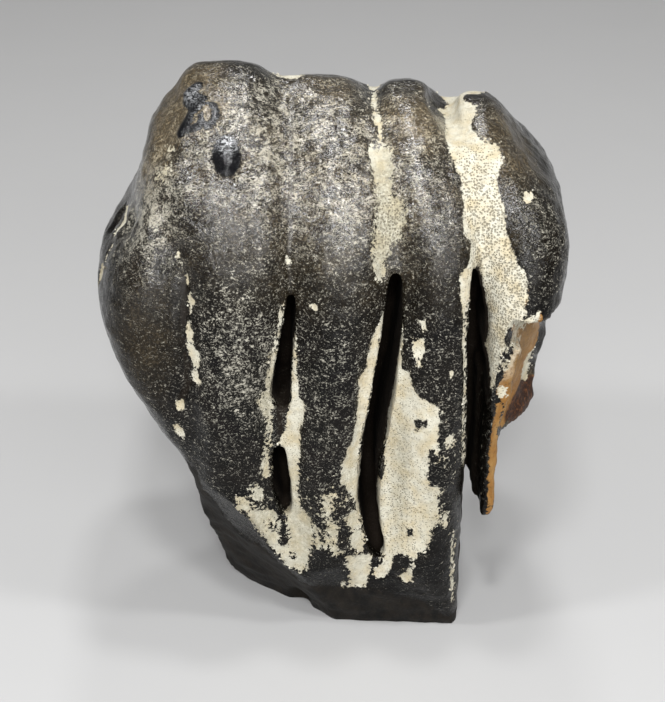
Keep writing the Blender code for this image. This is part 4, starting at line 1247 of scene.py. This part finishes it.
def fossil_material(settings):
    """Varnished near-black enamel, bare porous cement, tar, worn foot and stained broken edges, with painted
    shade in the gaps and creases and painted sheen and highlights.
    """
    material = bpy.data.materials.new("varnished_fossil")
    nodes = FossilNodes(material)
    shader = nodes.shader.inputs
    worn = nodes.inside("worn", 0.5, 0.15)
    rust = nodes.inside("rust", 0.4, 0.1)
    tar = nodes.inside("tar", 0.3, 0.1)
    bare = bare_cement(nodes, worn)
    # Painted shade: deep in the gaps and in the creases the colour turns near black.
    deep = nodes.ramp(nodes.attribute("gap_shade"), 0.2, 1.0, 0, 0.93)
    ridge = wrinkle_ridge(nodes)
    pore = pores(nodes, settings.pore_spacing)

    colour = nodes.mix(worn, enamel_colour(nodes, settings, ridge), foot_colour(nodes))
    colour = nodes.mix(rust, colour, rust_colour(nodes, settings))
    colour = nodes.mix(tar, colour, tar_colour(nodes, ridge))
    colour = nodes.mix(bare, colour, cement_colour(nodes, settings, pore))
    # The painted shade of the gaps and creases, near black, laid over every other colour.
    nodes.put(shader["Base Color"], nodes.mix(deep, colour, (0.012, 0.008, 0.005)))

    # Gloss: varnish on the enamel, none on the cement, a little on the foot.
    gloss = nodes.ramp(nodes.noise(2.4 * MM, 3), 0.35, 0.7, 0.08, 0.16)
    gloss = nodes.math("ADD", gloss, nodes.math("MULTIPLY", nodes.brown, 0.16))
    for share, roughness in ((worn, 0.6), (rust, 0.5), (tar, 0.08), (bare, 0.88), (deep, 0.9)):
        gloss = nodes.blend(share, gloss, roughness)
    nodes.put(shader["Roughness"], gloss)
    coat = nodes.math("MULTIPLY", nodes.varnish, nodes.math("SUBTRACT", 1.0, bare))
    nodes.put(shader["Coat Weight"], nodes.math("MULTIPLY", coat, nodes.ramp(tar, 0, 1, 1.0, 0.5)))
    shader["Coat Roughness"].default_value = 0.06
    shader["Coat IOR"].default_value = 1.7
    shader["Metallic"].default_value = 0.0
    shader["IOR"].default_value = 1.25

    # Fine relief: wrinkled varnish over the enamel, sunk pores and grain in the cement.
    folds = nodes.math("MULTIPLY", ridge, settings.wrinkle_height / MM)
    folds = nodes.math("ADD", folds, nodes.math("MULTIPLY", nodes.noise(2.0 * MM, 2, 0.5), 0.30))
    folds = nodes.blend(tar, folds, nodes.math("MULTIPLY", ridge, 0.15))
    grain = nodes.math("MULTIPLY", nodes.noise(0.5 * MM, 3, 0.65), 0.26)
    grain = nodes.math("SUBTRACT", grain, nodes.math("MULTIPLY", pore, 0.25))
    height = nodes.blend(worn, folds, nodes.math("MULTIPLY", nodes.streak, 0.35))
    height = nodes.blend(bare, height, grain)
    bump = nodes.add("ShaderNodeBump", {"Height": height, "Distance": MM, "Strength": 1.0})
    nodes.put(shader["Normal"], bump.outputs["Normal"])
    nodes.put(shader["Coat Normal"], bump.outputs["Normal"])
    return material


def crumb_material(settings):
    """Dusty cream crumbs, some darker than others."""
    material = bpy.data.materials.new("cement_crumb")
    nodes = Nodes(material)
    tint = nodes.ramp(nodes.noise(2.5 * MM, 2), 0.35, 0.65)
    colour = nodes.mix(tint, tuple(settings.cement_colour), (0.33, 0.29, 0.22))
    colour = nodes.mix(nodes.ramp(nodes.noise(0.4 * MM, 2), 0.5, 0.7), colour, (0.72, 0.70, 0.62))
    nodes.put(nodes.shader.inputs["Base Color"], colour)
    nodes.put(nodes.shader.inputs["Roughness"], nodes.ramp(tint, 0, 1, 0.9, 0.75))
    bump = nodes.add("ShaderNodeBump", {"Height": nodes.noise(0.3 * MM, 2), "Distance": 0.1 * MM})
    nodes.put(nodes.shader.inputs["Normal"], bump.outputs["Normal"])
    return material


def floor_material(colour):
    """Pale matt paper."""
    material = bpy.data.materials.new("pale_paper")
    nodes = Nodes(material)
    paler = tuple(min(1.0, c * 1.03) for c in colour)
    nodes.put(nodes.shader.inputs["Base Color"],
              nodes.mix(nodes.noise(40 * MM, 2), tuple(colour), paler))
    nodes.shader.inputs["Roughness"].default_value = 0.8
    return material


# ---- Operators -----------------------------------------------------------------------------------
class FOSSIL_OT_tooth(bpy.types.Operator):
    """Make the tooth's finished skin in place of its plain solid"""

    bl_idname = "fossil.tooth"
    bl_label = "Tooth"

    def execute(self, context):
        settings = context.scene.fossil_tooth
        tooth = grown_tooth(settings.skin_grid)
        finish_surface(tooth, settings.cement_recess)
        floor_cutter = box_block("floor_cutter", Vector((-90, -90, -40)), Vector((90, 90, 0)))
        add_boolean(tooth, floor_cutter)
        bake_modifiers(tooth)
        tooth.data.materials.clear()
        tooth.data.materials.append(fossil_material(settings))
        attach(tooth, "root")
        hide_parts("mammoth_tooth")
        return {"FINISHED"}


class FOSSIL_OT_crumbs(bpy.types.Operator):
    """Scatter loose crumbs of cement along the borders of the bare cement"""

    bl_idname = "fossil.crumbs"
    bl_label = "Crumbs"

    def execute(self, context):
        settings = context.scene.fossil_tooth
        crumbs = add_crumbs(bpy.data.objects["fossil_tooth"], settings.crumb_count)
        crumbs.data.materials.append(crumb_material(settings))
        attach(crumbs, "root")
        return {"FINISHED"}


def floor_and_backdrop():
    """One smooth sheet: the floor, which curves up into the backdrop."""
    bm = bmesh.new()
    steps = [(FLOOR_FRONT, 0.0), (CURVE_START, 0.0)]
    for turn in np.linspace(0.1, 1.5, 12):
        steps.append((CURVE_START + CURVE_RADIUS * math.sin(turn), CURVE_RADIUS * (1 - math.cos(turn))))
    steps.append((CURVE_START + CURVE_RADIUS, BACKDROP_TOP))
    rows = [[bm.verts.new((x, y, z)) for x in (-FLOOR_HALF_WIDTH, FLOOR_HALF_WIDTH)] for y, z in steps]
    for near, far in zip(rows, rows[1:]):
        bm.faces.new((near[0], near[1], far[1], far[0]))
    floor = mesh_object("floor", bm)
    floor.data.shade_smooth()
    return floor


def soft_light(name, power, size, location):
    """A soft light that points at the tooth."""
    light = bpy.data.lights.new(name, "AREA")
    light.energy = power
    light.shape = "RECTANGLE"
    light.size, light.size_y = size
    lamp = bpy.data.objects.new(name, light)
    bpy.context.scene.collection.objects.link(lamp)
    lamp.location = location
    lamp.rotation_mode = "QUATERNION"
    lamp.rotation_quaternion = (LIT_PLACE - lamp.location).to_track_quat("-Z", "Y")


def aimed_camera():
    """The camera, a little above the tooth and looking down on its front."""
    camera = bpy.data.cameras.new("camera")
    camera.lens = CAMERA_LENS
    camera.sensor_width = SENSOR_WIDTH
    camera.shift_x = (PICTURE_SIZE[0] / 2 - AIM_PIXEL[0]) / max(PICTURE_SIZE)
    camera.shift_y = (AIM_PIXEL[1] - PICTURE_SIZE[1] / 2) / max(PICTURE_SIZE)
    camera.clip_start = 0.01
    holder = bpy.data.objects.new("camera", camera)
    bpy.context.scene.collection.objects.link(holder)
    holder.location = (TO_MIDDLE + CAMERA_EYE) * MM
    holder.rotation_euler = (math.radians(90) - CAMERA_TILT, 0, 0)
    return holder


class FOSSIL_OT_stage(bpy.types.Operator):
    """Make the pale floor, the soft lights and the camera"""

    bl_idname = "fossil.stage"
    bl_label = "Stage"

    def execute(self, context):
        settings = context.scene.fossil_stage
        floor = floor_and_backdrop()
        floor.data.materials.append(floor_material(settings.floor_colour))
        for number, (place, share) in enumerate(LAMPS, start=1):
            soft_light(f"lamp_{number}", settings.lamp_power * share, LAMP_SIZE, place)
        soft_light("front_fill", settings.fill_power, FILL_SIZE, FILL_PLACE)
        world = bpy.data.worlds.new("room")
        world.use_nodes = True
        background = world.node_tree.nodes["Background"]
        background.inputs["Color"].default_value = ROOM_COLOUR
        background.inputs["Strength"].default_value = settings.world_strength
        context.scene.world = world
        context.scene.view_settings.view_transform = "Standard"
        context.scene.camera = aimed_camera()
        return {"FINISHED"}


class FOSSIL_PT_panel(bpy.types.Panel):
    """The steps that make the fossil tooth"""

    bl_label = "Fossil tooth"
    bl_idname = "FOSSIL_PT_panel"
    bl_space_type = "VIEW_3D"
    bl_region_type = "UI"
    bl_category = "Fossil"

    def draw(self, context):
        layout = self.layout
        for settings in (context.scene.fossil_tooth, context.scene.fossil_stage):
            for name in settings.__annotations__:
                layout.prop(settings, name)
        for operator in (FOSSIL_OT_tooth, FOSSIL_OT_crumbs, FOSSIL_OT_stage):
            layout.operator(operator.bl_idname)


CLASSES = (ToothSettings, StageSettings, FOSSIL_OT_tooth, FOSSIL_OT_crumbs, FOSSIL_OT_stage, FOSSIL_PT_panel)


def register():
    for made in CLASSES:
        bpy.utils.register_class(made)
    bpy.types.Scene.fossil_tooth = bpy.props.PointerProperty(type=ToothSettings)
    bpy.types.Scene.fossil_stage = bpy.props.PointerProperty(type=StageSettings)


def unregister():
    del bpy.types.Scene.fossil_stage
    del bpy.types.Scene.fossil_tooth
    for made in reversed(CLASSES):
        bpy.utils.unregister_class(made)


def main():
    register()
    bpy.ops.fossil.tooth()
    bpy.ops.fossil.crumbs()
    bpy.ops.fossil.stage()


if __name__ == "__main__":
    main()
